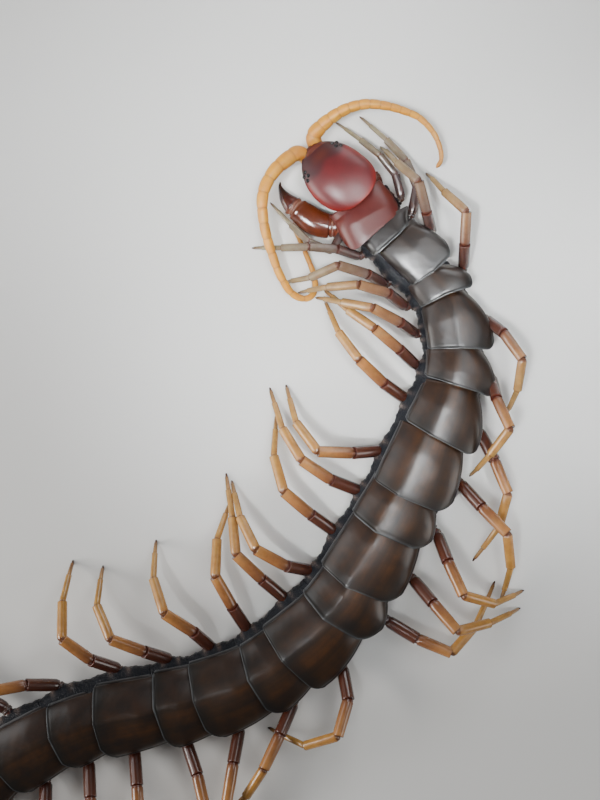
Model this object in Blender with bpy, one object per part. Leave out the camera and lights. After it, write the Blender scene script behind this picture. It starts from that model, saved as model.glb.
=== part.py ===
"""Giant centipede, life size, resting on its belly with the body in an S-shaped curve.

Every size is in millimetres and every angle in degrees; MM turns them into metres.
+Z is up, and the origin is under the middle of the whole animal, on the ground.
The body is a chain of 21 leg-bearing segments behind the head. A place on it is
written as t, the number of segments behind the neck: t = 2.5 is halfway along
the third one.
"""

import math

import bmesh
import bpy
import numpy as np
from mathutils import Matrix, Vector

MM = 0.001
GAP = 0.3  # between one sub-part and the next

# The course of the body, from the neck to the tail
NECK = (44.9, 74.7)
NECK_BEARING = 307.0
SEGMENT_LENGTHS = (6.4, 3.9, 9.7, 5.7, 10.6, 7.6, 10.6, 11.9, 8.6, 11.6, 7.4,
                   13.3, 8.6, 11.6, 8.3, 12.7, 9.1, 12.2, 9.1, 11.3, 8.4)
SEGMENT_BEARINGS = (300, 309, 315, 303, 284, 264, 249, 247, 242, 239, 235,
                    221, 213, 200, 191, 191, 200, 209, 223, 237, 247)
SEGMENTS = len(SEGMENT_LENGTHS)

# The section of the body
WIDTH_AT = (0.0, 1.5, 4.0, 8.0, 10.0, 15.0, 18.5, 20.0, 21.0)
HALF_WIDTHS = (6.2, 6.0, 6.1, 7.8, 8.3, 7.4, 7.2, 6.6, 5.3)
PLATE_EDGE_HEIGHT = 4.9
PLATE_EDGE_THICKNESS = 0.45
CROWN_PER_HALF_WIDTH = 0.42
FLANK_SHARE = 0.86
FLANK_FOOT_HEIGHT = 1.5
BELLY_SHARE = 0.56
BELLY_LIFT = 0.25
CROWN_SHARES = (0.0, 0.28, 0.53, 0.76, 0.92, 1.0)

# Each back plate is narrow and low in front and overhangs the next one behind:
# share of its length, share of the full width, rise of the crown, lift of the belly
PLATE_RINGS = (
    (0.00, 0.90, -0.55, BELLY_LIFT),
    (0.22, 0.97, -0.12, 0.0),
    (0.60, 1.00, 0.00, 0.0),
    (0.90, 1.00, 0.08, 0.0),
    (1.00, 0.95, 0.05, BELLY_LIFT),
)
NECK_SHELF = 1.5  # the first plate reaches this far forward, under the head
TRUNK_GROUPS = ((1, 1),) + tuple((k, k + 1) for k in range(2, SEGMENTS, 2))

# The head, in its own frame: x forward from its rear edge, y to the left
HEAD_BEARING = 137.0
HEAD_HALF_WIDTH = 6.4
HEAD_FRONT = 14.9
HEAD_WIDEST = 6.3
HEAD_NOSE = 16.4  # where the outline would close if the face were not cut flat
HEAD_UNDERSIDE = 4.0
HEAD_PLATE_THICKNESS = 0.6
HEAD_OVERHANG = 3.0
EYE_X = 12.3
EYE_INSET = 0.95
EYE_LEVEL = 5.75
EYE_TILT = 48.0
EYE_RADIUS = 0.42
EYE_MOUND = (1.15, 0.62, 0.8)
EYE_SPOTS = ((0.62, 0.05), (0.0, 0.42), (0.02, -0.40), (-0.66, 0.0))

# The venom claws and the plate that carries them
JAW_PLATE_TOP = 3.6
JAW_PLATE = ((-3.4, 4.4), (-1.0, 4.9), (1.4, 4.9), (2.3, 2.7), (5.0, 2.4), (8.6, 2.0))
CLAW_HEIGHT = 2.0
CLAW_FLATTENING = 0.6
LEFT_CLAW = ((1.3, 6.2, 2.0), (1.9, 8.0, 2.5), (4.4, 9.8, 2.75), (7.3, 10.3, 2.6),
             (9.2, 10.4, 2.2), (10.2, 10.5, 2.1), (12.3, 10.3, 1.35), (14.4, 9.5, 0.6),
             (15.2, 8.7, 0.2))
RIGHT_CLAW = ((2.9, -4.75, 1.6), (4.2, -4.6, 1.85), (6.6, -4.5, 1.85), (8.6, -4.2, 1.6),
              (9.5, -3.9, 1.45), (10.3, -3.5, 1.35), (11.8, -2.5, 0.9), (12.9, -1.2, 0.42),
              (13.2, -0.6, 0.2))

# The feelers, as places that each passes through in the head's frame
FEELER_ARTICLES = 18
FEELER_RADII = (1.2, 0.42)
LEFT_FEELER = ((15.8, 1.6, 4.8), (16.3, 2.2, 5.0), (16.6, 3.6, 5.3),
               (16.9, 5.9, 5.9), (17.0, 8.4, 6.3), (16.3, 11.6, 6.6), (15.0, 14.0, 6.6),
               (13.2, 15.9, 6.4), (10.9, 17.8, 6.0), (8.5, 19.4, 5.4), (5.8, 20.9, 4.7),
               (3.3, 22.2, 4.1), (0.8, 23.1, 3.4), (-1.4, 23.6, 2.8), (-3.5, 23.3, 2.2),
               (-4.9, 22.2, 1.9), (-5.1, 20.7, 1.6), (-4.3, 19.2, 1.45), (-2.1, 17.5, 1.25),
               (1.9, 15.6, 1.0), (5.2, 14.2, 0.85), (7.4, 13.3, 0.75))
RIGHT_FEELER = ((15.8, -1.6, 4.8), (16.2, -2.2, 4.95), (16.4, -3.6, 5.3),
                (16.0, -6.8, 6.0), (14.8, -10.4, 6.8), (12.6, -13.6, 7.2), (9.3, -16.2, 7.0),
                (5.9, -18.1, 6.2), (2.8, -19.2, 5.6), (-1.0, -19.0, 5.0), (-4.0, -17.7, 4.7),
                (-5.7, -16.2, 4.4), (-6.1, -14.4, 4.2))

# The legs: share of full size, and the articles at full size (length, radius)
LEG_SIZE_AT = (1, 2, 3, 6, 8, 17, 20)
LEG_SIZES = (0.68, 0.78, 0.88, 0.93, 1.0, 1.0, 1.12)
HIP_HEIGHT = 2.85
HIP = ((0.9, 1.12), (1.0, 1.08))
ARTICLES = (
    ("prefemur", 6.9, 1.16, 1.22),
    ("femur", 7.3, 1.06, 1.12),
    ("tibia", 7.6, 0.86, 0.82),
    ("tarsus_1", 6.0, 0.56, 0.50),
    ("tarsus_2", 3.0, 0.40, 0.32),
)
JOINT_PINCH = 0.84
CLAW_DROP = 0.5
CLAW_TIP = 0.14
SHIN_DROOP = (0.75, 1.15, 1.5)  # how the drop to the ground is shared below the knee

# The pose of each leg in turn, front to rear: where the prefemur, femur, tibia and tarsi
# point, counted forward from straight out sideways, and how far the prefemur is raised
LEFT_POSE = (
    (-34, 48, 72, 76, 4), (54, 42, 40, 44, 30), (70, 62, 26, 42, 48), (66, 48, 32, 28, 46),
    (44, 40, 27, 30, 52), (33, 32, 30, 38, 42), (11, 20, 32, 46, 36), (-26, -20, 30, 52, 34),
    (-6, 6, 30, 44, 24), (6, 10, 43, 62, 26), (-17, -3, 28, 40, 42), (-7, -5, 34, 30, 24),
    (5, 6, 35, 52, 34), (-20, -34, -2, 18, 44), (-52, -56, -18, 12, 42), (-52, -40, 6, 18, 38),
    (-62, -78, -88, -92, 32), (-30, -22, -8, 6, 8), (-6, -2, 14, 26, 28), (-22, -32, -42, -52, 24),
)
RIGHT_POSE = (
    (78, 102, 112, 114, 4), (40, 74, 92, 96, 5), (66, 60, 86, 76, 50), (60, 56, 98, 88, 48),
    (-62, -72, -108, -120, 50), (-80, -62, -116, -118, 50), (-42, -46, -80, -100, 19),
    (-27, -24, -58, -76, 34), (-44, -38, 10, 42, 42), (-18, -18, 40, 46, 40),
    (4, 12, 80, 96, 14), (-30, -58, -108, -146, 36), (-60, -60, -64, -72, 30),
    (-30, -29, -32, -40, 30), (14, 5, -2, 6, 30), (-1, -4, -10, -2, 30), (-12, -12, -18, -24, 30),
    (-24, -26, -30, -36, 28), (-36, -38, -42, -48, 28), (-50, -52, -56, -62, 24),
)

# The last pair, which trails behind the body
TRAIL_ROOT = (2.5, 3.3)
TRAIL_ARTICLES = (
    ("prefemur", 8.8, 1.62, 1.72),
    ("femur", 7.8, 1.45, 1.46),
    ("tibia", 6.6, 1.22, 1.16),
    ("tarsus_1", 4.8, 0.92, 0.80),
    ("tarsus_2", 3.4, 0.62, 0.46),
)
LEFT_TRAIL = (14, 18, 10, 12, 14)
RIGHT_TRAIL = (16, 10, 18, 14, 8)
TRAIL_RAISE = (8, 2)

COLOURS = {  # base colour, roughness
    "head_shell": ((0.22, 0.026, 0.018), 0.22),
    "back_plate": ((0.030, 0.019, 0.017), 0.27),
    "leg_shell": ((0.36, 0.125, 0.035), 0.28),
    "feeler_shell": ((0.60, 0.30, 0.075), 0.36),
    "venom_claw": ((0.17, 0.035, 0.014), 0.22),
    "eye_lens": ((0.006, 0.005, 0.006), 0.12),
}


def clear_scene():
    for thing in list(bpy.data.objects):
        bpy.data.objects.remove(thing)


def new_collection(name, shown=True):
    made = bpy.data.collections.new(name)
    bpy.context.scene.collection.children.link(made)
    made.hide_render = not shown
    return made


def material(slot):
    """The Principled material of one finish, made the first time that it is asked for."""
    found = bpy.data.materials.get(slot)
    if found:
        return found
    colour, roughness = COLOURS[slot]
    made = bpy.data.materials.new(slot)
    made.use_nodes = True
    shader = made.node_tree.nodes["Principled BSDF"]
    shader.inputs["Base Color"].default_value = (*colour, 1.0)
    shader.inputs["Roughness"].default_value = roughness
    shader.inputs["Metallic"].default_value = 0.0
    return made


def unit(bearing):
    """The level direction at this bearing, counted anticlockwise from +X."""
    angle = math.radians(bearing)
    return np.array([math.cos(angle), math.sin(angle)])


def left_of(direction):
    return np.array([-direction[1], direction[0]])


def spine_joints():
    """Places and directions of the joints between segments, the neck first."""
    places = [np.array(NECK)]
    for length, bearing in zip(SEGMENT_LENGTHS, SEGMENT_BEARINGS):
        places.append(places[-1] + length * unit(bearing))
    bearings = [NECK_BEARING]
    bearings += [(a + b) / 2 for a, b in zip(SEGMENT_BEARINGS, SEGMENT_BEARINGS[1:])]
    bearings.append(SEGMENT_BEARINGS[-1])
    return places, [unit(b) for b in bearings]


JOINTS, JOINT_DIRECTIONS = spine_joints()


def spine(t):
    """Place and tailward direction on the body's midline, by a Hermite curve from joint to joint."""
    if t <= 0.0:
        return JOINTS[0] + t * SEGMENT_LENGTHS[0] * JOINT_DIRECTIONS[0], JOINT_DIRECTIONS[0]
    k = min(int(t), SEGMENTS - 1)
    f = t - k
    length = SEGMENT_LENGTHS[k]
    a, b = JOINTS[k], JOINTS[k + 1]
    u, v = JOINT_DIRECTIONS[k] * length, JOINT_DIRECTIONS[k + 1] * length
    place = ((2 * f**3 - 3 * f**2 + 1) * a + (f**3 - 2 * f**2 + f) * u
             + (3 * f**2 - 2 * f**3) * b + (f**3 - f**2) * v)
    slope = ((6 * f**2 - 6 * f) * a + (3 * f**2 - 4 * f + 1) * u
             + (6 * f - 6 * f**2) * b + (3 * f**2 - 2 * f) * v)
    return place, slope / np.linalg.norm(slope)


def half_width(t):
    return float(np.interp(t, WIDTH_AT, HALF_WIDTHS))


def closed_ring(half):
    """A whole section from its left half, which runs from the crown to the middle of the belly."""
    right = [(-u, v) for u, v in half[-2:0:-1]]
    return half + right


def body_section(t, widening, rise, belly):
    """The section of the body: arched back plate, plate edge, flank and flat belly."""
    full = half_width(t)
    plate = full * widening
    crown = PLATE_EDGE_HEIGHT + CROWN_PER_HALF_WIDTH * full + rise
    half = []
    for share in CROWN_SHARES:
        arch = (1 - share**2.3) ** 0.62
        half.append((plate * share, PLATE_EDGE_HEIGHT + (crown - PLATE_EDGE_HEIGHT) * arch))
    under = PLATE_EDGE_HEIGHT - PLATE_EDGE_THICKNESS
    flank = full * FLANK_SHARE
    half += [
        (plate * 0.985, under),
        (flank, under - 0.05),
        (flank * 0.97, FLANK_FOOT_HEIGHT),
        (full * 0.66, 0.45 + belly),
        (full * BELLY_SHARE, belly),
        (0.0, belly),
    ]
    return closed_ring(half)


def placed_ring(section, place, along):
    """Section points (sideways, up) set square to the direction along, at a place on the ground."""
    side = left_of(-along)
    return [(*(place + u * side), v) for u, v in section]


def lofted(name, rings, slot, collection):
    """A closed skin over a row of rings with equal numbers of points, capped at both ends."""
    count = len(rings[0])
    points = [tuple(MM * float(c) for c in point) for ring in rings for point in ring]
    faces = [tuple(range(count)), tuple(range((len(rings) - 1) * count, len(rings) * count))[::-1]]
    for row in range(len(rings) - 1):
        start = row * count
        for i in range(count):
            j = (i + 1) % count
            faces.append((start + i, start + count + i, start + count + j, start + j))
    mesh = bpy.data.meshes.new(name)
    mesh.from_pydata(points, [], faces)
    form = bmesh.new()
    form.from_mesh(mesh)
    bmesh.ops.recalc_face_normals(form, faces=form.faces)
    bmesh.ops.triangulate(form, faces=[f for f in form.faces if len(f.verts) > 4])
    form.to_mesh(mesh)
    form.free()
    mesh.shade_smooth()
    mesh.set_sharp_from_angle(angle=math.radians(40))
    thing = bpy.data.objects.new(name, mesh)
    thing.data.materials.append(material(slot))
    collection.objects.link(thing)
    return thing


def tube(name, points, radii, slot, collection, resolution=1):
    """A jointed tube: a poly curve with a round bevel, its radius given point by point."""
    curve = bpy.data.curves.new(name, "CURVE")
    curve.dimensions = "3D"
    curve.bevel_depth = MM
    curve.bevel_resolution = resolution
    curve.use_fill_caps = True
    line = curve.splines.new("POLY")
    line.points.add(len(points) - 1)
    for knot, place, radius in zip(line.points, points, radii):
        knot.co = (*(MM * float(c) for c in place), 1.0)
        knot.radius = radius
    line.use_smooth = True
    thing = bpy.data.objects.new(name, curve)
    thing.data.materials.append(material(slot))
    collection.objects.link(thing)
    return thing


def combine(target, others, operation="UNION"):
    """Applies one Boolean of a collection of closed meshes to the target, then removes them."""
    group = new_collection("pieces_of_" + target.name, shown=False)
    for thing in others:
        for holder in list(thing.users_collection):
            holder.objects.unlink(thing)
        group.objects.link(thing)
    step = target.modifiers.new("combine", "BOOLEAN")
    step.operand_type = "COLLECTION"
    step.collection = group
    step.operation = operation
    step.solver = "EXACT"
    bpy.context.view_layer.update()
    graph = bpy.context.evaluated_depsgraph_get()
    mesh = bpy.data.meshes.new_from_object(target.evaluated_get(graph))
    target.modifiers.remove(step)
    target.data = mesh
    for thing in others:
        bpy.data.objects.remove(thing)
    bpy.data.collections.remove(group)
    keep_largest(target)


def keep_largest(target):
    """Keeps only the largest closed surface of a mesh."""
    form = bmesh.new()
    form.from_mesh(target.data)
    unseen, shells = set(form.verts), []
    while unseen:
        edge, shell = [unseen.pop()], set()
        while edge:
            vertex = edge.pop()
            shell.add(vertex)
            for link in vertex.link_edges:
                other = link.other_vert(vertex)
                if other in unseen:
                    unseen.discard(other)
                    edge.append(other)
        shells.append(shell)
    shells.sort(key=len)
    loose = [vertex for shell in shells[:-1] for vertex in shell]
    bmesh.ops.delete(form, geom=loose, context="VERTS")
    form.to_mesh(target.data)
    form.free()


def trunk(collection):
    """The body in lengths of one or two segments, each with its back plates, flanks and belly."""
    lengths = []
    for first, last in TRUNK_GROUPS:
        rings = []
        if first == 1:
            for forward, widening, rise in ((NECK_SHELF, 0.80, -1.35), (0.0, 0.93, -0.75)):
                t = -forward / SEGMENT_LENGTHS[0]
                place, along = spine(t)
                rings.append(placed_ring(body_section(0.0, widening, rise, BELLY_LIFT), place, along))
        for k in range(first, last + 1):
            inset = GAP / 2 / SEGMENT_LENGTHS[k - 1]
            for share, widening, rise, belly in PLATE_RINGS:
                if k == 1 and share == 0.0:
                    continue
                t = k - 1 + inset + share * (1 - 2 * inset)
                place, along = spine(t)
                rings.append(placed_ring(body_section(t, widening, rise, belly), place, along))
        name = "trunk_01" if first == 1 else f"trunk_{first:02d}_{last:02d}"
        slot = "head_shell" if first == 1 else "back_plate"
        lengths.append(lofted(name, rings, slot, collection))
    return lengths


def head_place(x, y, z):
    """A point of the head's own frame, in the frame of the whole animal."""
    forward = unit(HEAD_BEARING)
    level = np.array(NECK) + x * forward + y * left_of(forward)
    return np.array([level[0], level[1], z])


def head_half_width(x):
    """The outline of the head plate: a blunt curve behind the widest place, a longer one before it."""
    if x < HEAD_WIDEST:
        back = (HEAD_WIDEST - x) / HEAD_WIDEST
        return HEAD_HALF_WIDTH * max(1 - back**2.6, 0.0) ** 0.42
    ahead = (x - HEAD_WIDEST) / (HEAD_NOSE - HEAD_WIDEST)
    return HEAD_HALF_WIDTH * max(1 - ahead**1.8, 0.0) ** 0.72


def head_section(x, thin):
    """The section of the head: the domed plate alone at the rear, and the whole capsule before it."""
    wide = head_half_width(x)
    crown = float(np.interp(x, (0, 2, 5, 9, 12, 14.9), (7.9, 8.05, 8.1, 7.6, 6.9, 6.1)))
    edge = float(np.interp(x, (0, 1, 2.4, 5, 9, 14.9), (7.6, 7.1, 6.4, 5.5, 5.2, 5.0)))
    half = [(wide * s, edge + (crown - edge) * (1 - s**2.2) ** 0.55) for s in CROWN_SHARES]
    if thin:
        drop = HEAD_PLATE_THICKNESS
        half += [(wide * s, v - drop) for s, v in ((0.97, edge + 0.1), (0.80, half[3][1]),
                                                   (0.55, half[2][1]), (0.30, half[1][1]),
                                                   (0.15, crown - 0.02), (0.0, crown))]
    else:
        half += [
            (wide * 0.98, edge - 0.4),
            (wide * 0.88, edge - 0.5),
            (wide * 0.84, HEAD_UNDERSIDE + 0.35),
            (wide * 0.72, HEAD_UNDERSIDE),
            (wide * 0.36, HEAD_UNDERSIDE),
            (0.0, HEAD_UNDERSIDE),
        ]
    return closed_ring(half)


def head(collection):
    """The head: a domed plate that overhangs the first body plate, with the mouth below."""
    stations = [(x, True) for x in (0.12, 0.7, 1.7, HEAD_OVERHANG)]
    stations += [(x, False) for x in (HEAD_OVERHANG + 0.1, 4.6, 6.4, 8.4, 10.4, 12.2, 13.7, HEAD_FRONT)]
    rings = []
    for x, thin in stations:
        rings.append([head_place(x, u, v) for u, v in head_section(x, thin)])
    return lofted("head", rings, "head_shell", collection)


def ball(name, centre, size, axes, collection, slot="eye_lens"):
    """An icosphere stretched to the given half sizes along three axes."""
    form = bmesh.new()
    bmesh.ops.create_icosphere(form, subdivisions=2, radius=1.0)
    turn = Matrix([axes[0], axes[1], axes[2]]).transposed().to_4x4()
    stretch = Matrix.Diagonal((size[0] * MM, size[1] * MM, size[2] * MM, 1.0))
    move = Matrix.Translation(Vector([float(c) * MM for c in centre]))
    bmesh.ops.transform(form, matrix=move @ turn @ stretch, verts=form.verts)
    bmesh.ops.recalc_face_normals(form, faces=form.faces)
    mesh = bpy.data.meshes.new(name)
    form.to_mesh(mesh)
    form.free()
    mesh.shade_smooth()
    thing = bpy.data.objects.new(name, mesh)
    thing.data.materials.append(material(slot))
    collection.objects.link(thing)
    return thing


def eye_frame(side):
    """Centre of an eye mound on the plate's edge, and its axes: forward, outward and up."""
    wide = head_half_width(EYE_X)
    slope = (head_half_width(EYE_X + 0.5) - head_half_width(EYE_X - 0.5)) / 1.0
    lean = math.degrees(math.atan(slope)) * side
    forward = np.append(unit(HEAD_BEARING + lean), 0.0)
    outward = np.append(left_of(forward[:2]) * side, 0.0)
    tilt = math.radians(EYE_TILT)
    up = np.array([0.0, 0.0, 1.0])
    normal = outward * math.cos(tilt) + up * math.sin(tilt)
    across = up * math.cos(tilt) - outward * math.sin(tilt)
    return head_place(EYE_X, side * (wide - EYE_INSET), EYE_LEVEL), forward, normal, across


def eyes(collection, skull):
    """Four simple eyes on a low mound at each side of the head, each mound in its own socket."""
    sockets = []
    for side, word in ((1, "left"), (-1, "right")):
        centre, forward, normal, across = eye_frame(side)
        axes = (forward, normal, across)
        mound = ball(f"eyes_{word}", centre, EYE_MOUND, axes, collection)
        lenses = []
        for i, (ahead, above) in enumerate(EYE_SPOTS):
            rise = EYE_MOUND[1] * math.sqrt(1 - (ahead / 1.3) ** 2 - (above / 0.95) ** 2)
            spot = centre + ahead * forward + above * across + (rise - 0.08) * normal
            lenses.append(ball(f"lens_{word}_{i}", spot, (EYE_RADIUS,) * 3, axes, collection))
        combine(mound, lenses)
        wide = [half + GAP for half in EYE_MOUND]
        sockets.append(ball(f"socket_{word}", centre, wide, axes, collection, "head_shell"))
    combine(skull, sockets, "DIFFERENCE")


def jaw_plate(collection, front_length):
    """The plate below the head that carries the venom claws, fused to the first length of the body."""
    rings = []
    for x, wide in JAW_PLATE:
        half = [(0.0, JAW_PLATE_TOP), (wide * 0.7, JAW_PLATE_TOP), (wide, JAW_PLATE_TOP - 0.5),
                (wide, 1.2), (wide * 0.86, 0.45), (0.0, 0.35)]
        rings.append([head_place(x, u, v) for u, v in closed_ring(half)])
    plate = lofted("jaw_plate", rings, "venom_claw", collection)
    teeth = []
    for side in (1, -1):
        root, tip = head_place(8.6, side * 1.15, 2.3), head_place(10.2, side * 1.0, 2.3)
        points = [root, (root + tip) / 2, tip]
        teeth.append(meshed(tube("tooth_plate", points, (0.85, 0.75, 0.4), "venom_claw", collection)))
    combine(front_length, [plate, *teeth])


def meshed(curve_object):
    """A mesh object in place of a curve object, its caps welded on."""
    bpy.context.view_layer.update()
    graph = bpy.context.evaluated_depsgraph_get()
    mesh = bpy.data.meshes.new_from_object(curve_object.evaluated_get(graph))
    form = bmesh.new()
    form.from_mesh(mesh)
    bmesh.ops.remove_doubles(form, verts=form.verts, dist=0.00001)
    bmesh.ops.recalc_face_normals(form, faces=form.faces)
    form.to_mesh(mesh)
    form.free()
    thing = bpy.data.objects.new(curve_object.name + "_mesh", mesh)
    thing.matrix_world = curve_object.matrix_world
    curve_object.users_collection[0].objects.link(thing)
    bpy.data.objects.remove(curve_object)
    return thing


def venom_claw(name, course, collection):
    """One venom claw: a stout flattened limb that narrows at its joint to a curved fang."""
    centres = [head_place(x, y, CLAW_HEIGHT) for x, y, _ in course]
    rings = []
    sides = 10
    for i, (_, _, radius) in enumerate(course):
        before, after = centres[max(i - 1, 0)], centres[min(i + 1, len(centres) - 1)]
        along = (after - before) / np.linalg.norm(after - before)
        across = np.array([-along[1], along[0], 0.0])
        droop = 0.12 * max(i - 4, 0)
        ring = []
        for step in range(sides):
            angle = math.tau * step / sides
            ring.append(centres[i] + radius * math.cos(angle) * across
                        + [0.0, 0.0, radius * CLAW_FLATTENING * math.sin(angle) - droop])
        rings.append(ring)
    return lofted(name, rings, "venom_claw", collection)


def smooth_course(knots, per_span=12):
    """A Catmull-Rom curve through the knots, as a fine row of points."""
    ends = [2 * knots[0] - knots[1], *knots, 2 * knots[-1] - knots[-2]]
    row = []
    for a, b, c, d in zip(ends, ends[1:], ends[2:], ends[3:]):
        for step in range(per_span):
            f = step / per_span
            row.append(0.5 * (2 * b + (c - a) * f + (2 * a - 5 * b + 4 * c - d) * f**2
                              + (3 * b - a - 3 * c + d) * f**3))
    return np.array([*row, knots[-1]])


def feeler(name, course, collection):
    """A feeler: a chain of bead-like articles, the rear ones shorter and thinner."""
    row = smooth_course([head_place(*knot) for knot in course])
    far = np.concatenate([[0.0], np.cumsum(np.linalg.norm(np.diff(row, axis=0), axis=1))])
    thick, thin = FEELER_RADII
    steps = 2 * FEELER_ARTICLES
    shares = (np.arange(steps + 1) / steps) ** 0.94
    _, sideways, height = course[0]
    points, radii = [head_place(HEAD_FRONT + GAP, sideways, height)], [thick]
    for i, share in enumerate(shares):
        points.append([np.interp(share * far[-1], far, row[:, axis]) for axis in range(3)])
        pinch = 0.9 if i % 2 == 0 and i > 0 else 1.0
        radii.append(pinch * (thick + (thin - thick) * share**0.8))
    radii[-1] *= 0.55
    return tube(name, points, radii, "feeler_shell", collection)


def limb_points(root, articles, bearings, pitches, lead):
    """Points and radii along a jointed limb: a pinch at each joint and two rings on each article."""
    points, radii = [point for point, _ in lead], [radius for _, radius in lead]
    place = np.array(root, float)
    for (_, length, near, far), bearing, pitch in zip(articles, bearings, pitches):
        level = unit(bearing) * math.cos(math.radians(pitch))
        step = np.array([level[0], level[1], math.sin(math.radians(pitch))]) * length
        points += [place.copy(), place + 0.2 * step, place + 0.84 * step]
        radii += [near * JOINT_PINCH, near, far]
        place = place + step
    foot = np.array([place[0], place[1], 0.0])
    points += [np.array([place[0], place[1], CLAW_DROP]), foot]
    radii += [articles[-1][3] * 0.8, CLAW_TIP]
    return points, radii


def settled_pitches(start, raises, lengths):
    """Pitches of the articles: the raised ones as given, the rest drooping to end at the claw's root."""
    high = start + sum(n * math.sin(math.radians(p)) for n, p in zip(lengths, raises))
    below = lengths[len(raises):]
    shares = SHIN_DROOP[-len(below):]
    low, most = 0.0, 58.0
    for _ in range(40):
        droop = (low + most) / 2
        drop = sum(n * math.sin(math.radians(droop * s)) for n, s in zip(below, shares))
        if high - drop > CLAW_DROP:
            low = droop
        else:
            most = droop
    return list(raises) + [-droop * s for s in shares]


def leg(number, side, collection):
    """One walking leg: two hip rings at the flank, then five articles down to a claw on the ground."""
    prefemur, femur, tibia, foot, raised = (LEFT_POSE if side > 0 else RIGHT_POSE)[number - 1]
    size = float(np.interp(number, LEG_SIZE_AT, LEG_SIZES))
    t = number - 0.5
    place, along = spine(t)
    out = left_of(-along) * side
    outward = math.degrees(math.atan2(out[1], out[0]))
    reach = half_width(t) * FLANK_SHARE + GAP
    bearings = [outward - side * angle for angle in
                (0.0, prefemur / 2, prefemur, femur, tibia, foot, foot)]
    lead, start = [], np.array([*(place + reach * out), HIP_HEIGHT])
    for (length, radius), bearing in zip(HIP, bearings):
        lead.append((start.copy(), radius * size))
        start = start + np.array([*(unit(bearing) * length * size), 0.0])
    articles = [(name, n * size, a * size, b * size) for name, n, a, b in ARTICLES]
    lengths = [article[1] for article in articles]
    pitches = settled_pitches(HIP_HEIGHT, (raised, raised * 0.45), lengths)
    points, radii = limb_points(start, articles, bearings[2:], pitches, lead)
    word = "left" if side > 0 else "right"
    return tube(f"leg_{word}_{number:02d}", points, radii, "leg_shell", collection)


def trailing_leg(side, collection):
    """One of the last pair: thicker, without a hip at the flank, rooted in the rear face of the body."""
    angles = LEFT_TRAIL if side > 0 else RIGHT_TRAIL
    place, along = spine(SEGMENTS)
    backward = math.degrees(math.atan2(along[1], along[0]))
    out = left_of(-along) * side
    sideways, height = TRAIL_ROOT
    level = place + (GAP / 2) * along + sideways * out
    root = np.array([level[0], level[1], height])
    lead = [(root, TRAIL_ARTICLES[0][2] * 0.9)]
    start = root + np.array([*(0.8 * along), 0.0])
    bearings = [backward - side * angle for angle in angles]
    lengths = [article[1] for article in TRAIL_ARTICLES]
    pitches = settled_pitches(height, TRAIL_RAISE, lengths)
    points, radii = limb_points(start, TRAIL_ARTICLES, bearings, pitches, lead)
    word = "left" if side > 0 else "right"
    return tube(f"leg_{word}_{SEGMENTS:02d}", points, radii, "leg_shell", collection)


def main():
    clear_scene()
    animal = new_collection("giant_centipede")
    lengths = trunk(animal)
    skull = head(animal)
    eyes(animal, skull)
    jaw_plate(animal, lengths[0])
    venom_claw("venom_claw_left", LEFT_CLAW, animal)
    venom_claw("venom_claw_right", RIGHT_CLAW, animal)
    feeler("antenna_left", LEFT_FEELER, animal)
    feeler("antenna_right", RIGHT_FEELER, animal)
    for number in range(1, SEGMENTS):
        leg(number, 1, animal)
        leg(number, -1, animal)
    trailing_leg(1, animal)
    trailing_leg(-1, animal)


main()
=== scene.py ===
"""A giant centipede at life size, resting on its belly with its body in an S-shaped curve.

Places are worked out in millimetres, and MM turns them into metres when a mesh is made.
+Z is up, and the origin is under the middle of the animal, on the ground.
A place on the body is written as t, the number of segments behind the neck.
"""
import math

import bpy
import numpy as np
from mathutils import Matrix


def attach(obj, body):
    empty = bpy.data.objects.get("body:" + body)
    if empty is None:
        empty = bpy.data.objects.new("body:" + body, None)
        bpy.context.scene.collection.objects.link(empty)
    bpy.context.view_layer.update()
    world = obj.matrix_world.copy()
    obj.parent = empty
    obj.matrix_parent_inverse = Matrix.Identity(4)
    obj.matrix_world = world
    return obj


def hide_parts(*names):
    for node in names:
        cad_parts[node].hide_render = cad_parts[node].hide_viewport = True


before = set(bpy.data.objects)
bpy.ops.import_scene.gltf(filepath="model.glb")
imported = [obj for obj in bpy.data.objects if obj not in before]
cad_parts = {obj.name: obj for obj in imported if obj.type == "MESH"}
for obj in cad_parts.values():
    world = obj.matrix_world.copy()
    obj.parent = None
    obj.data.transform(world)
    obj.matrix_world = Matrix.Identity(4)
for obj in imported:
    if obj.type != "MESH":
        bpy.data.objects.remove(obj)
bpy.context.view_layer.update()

# THE SKIN OF THE BODY
# A soft, wrinkled, blue-black skin that joins the hard plates of the back to those of
# the belly. It swells round the root of each leg, most on the inner side of a bend.

MM = 0.001
NECK = (44.9, 74.7)
NECK_BEARING = 307.0
SEGMENT_LENGTHS = np.array((6.4, 3.9, 9.7, 5.7, 10.6, 7.6, 10.6, 11.9, 8.6, 11.6, 7.4,
                            13.3, 8.6, 11.6, 8.3, 12.7, 9.1, 12.2, 9.1, 11.3, 8.4))
SEGMENT_BEARINGS = np.array((300, 309, 315, 303, 284, 264, 249, 247, 242, 239, 235,
                             221, 213, 200, 191, 191, 200, 209, 223, 237, 247), float)
SEGMENTS = len(SEGMENT_LENGTHS)
WIDTH_AT = (0.0, 1.5, 4.0, 8.0, 10.0, 15.0, 18.5, 20.0, 21.0)
HALF_WIDTHS = (6.2, 6.0, 6.1, 7.8, 8.3, 7.4, 7.2, 6.6, 5.3)
TRUNK_GROUPS = ((1, 1),) + tuple((k, k + 1) for k in range(2, SEGMENTS, 2))


def bearing_vector(bearing):
    """Level unit vectors at these bearings, in degrees anticlockwise from +X."""
    angle = np.radians(bearing)
    return np.stack([np.cos(angle), np.sin(angle)], -1)


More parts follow.
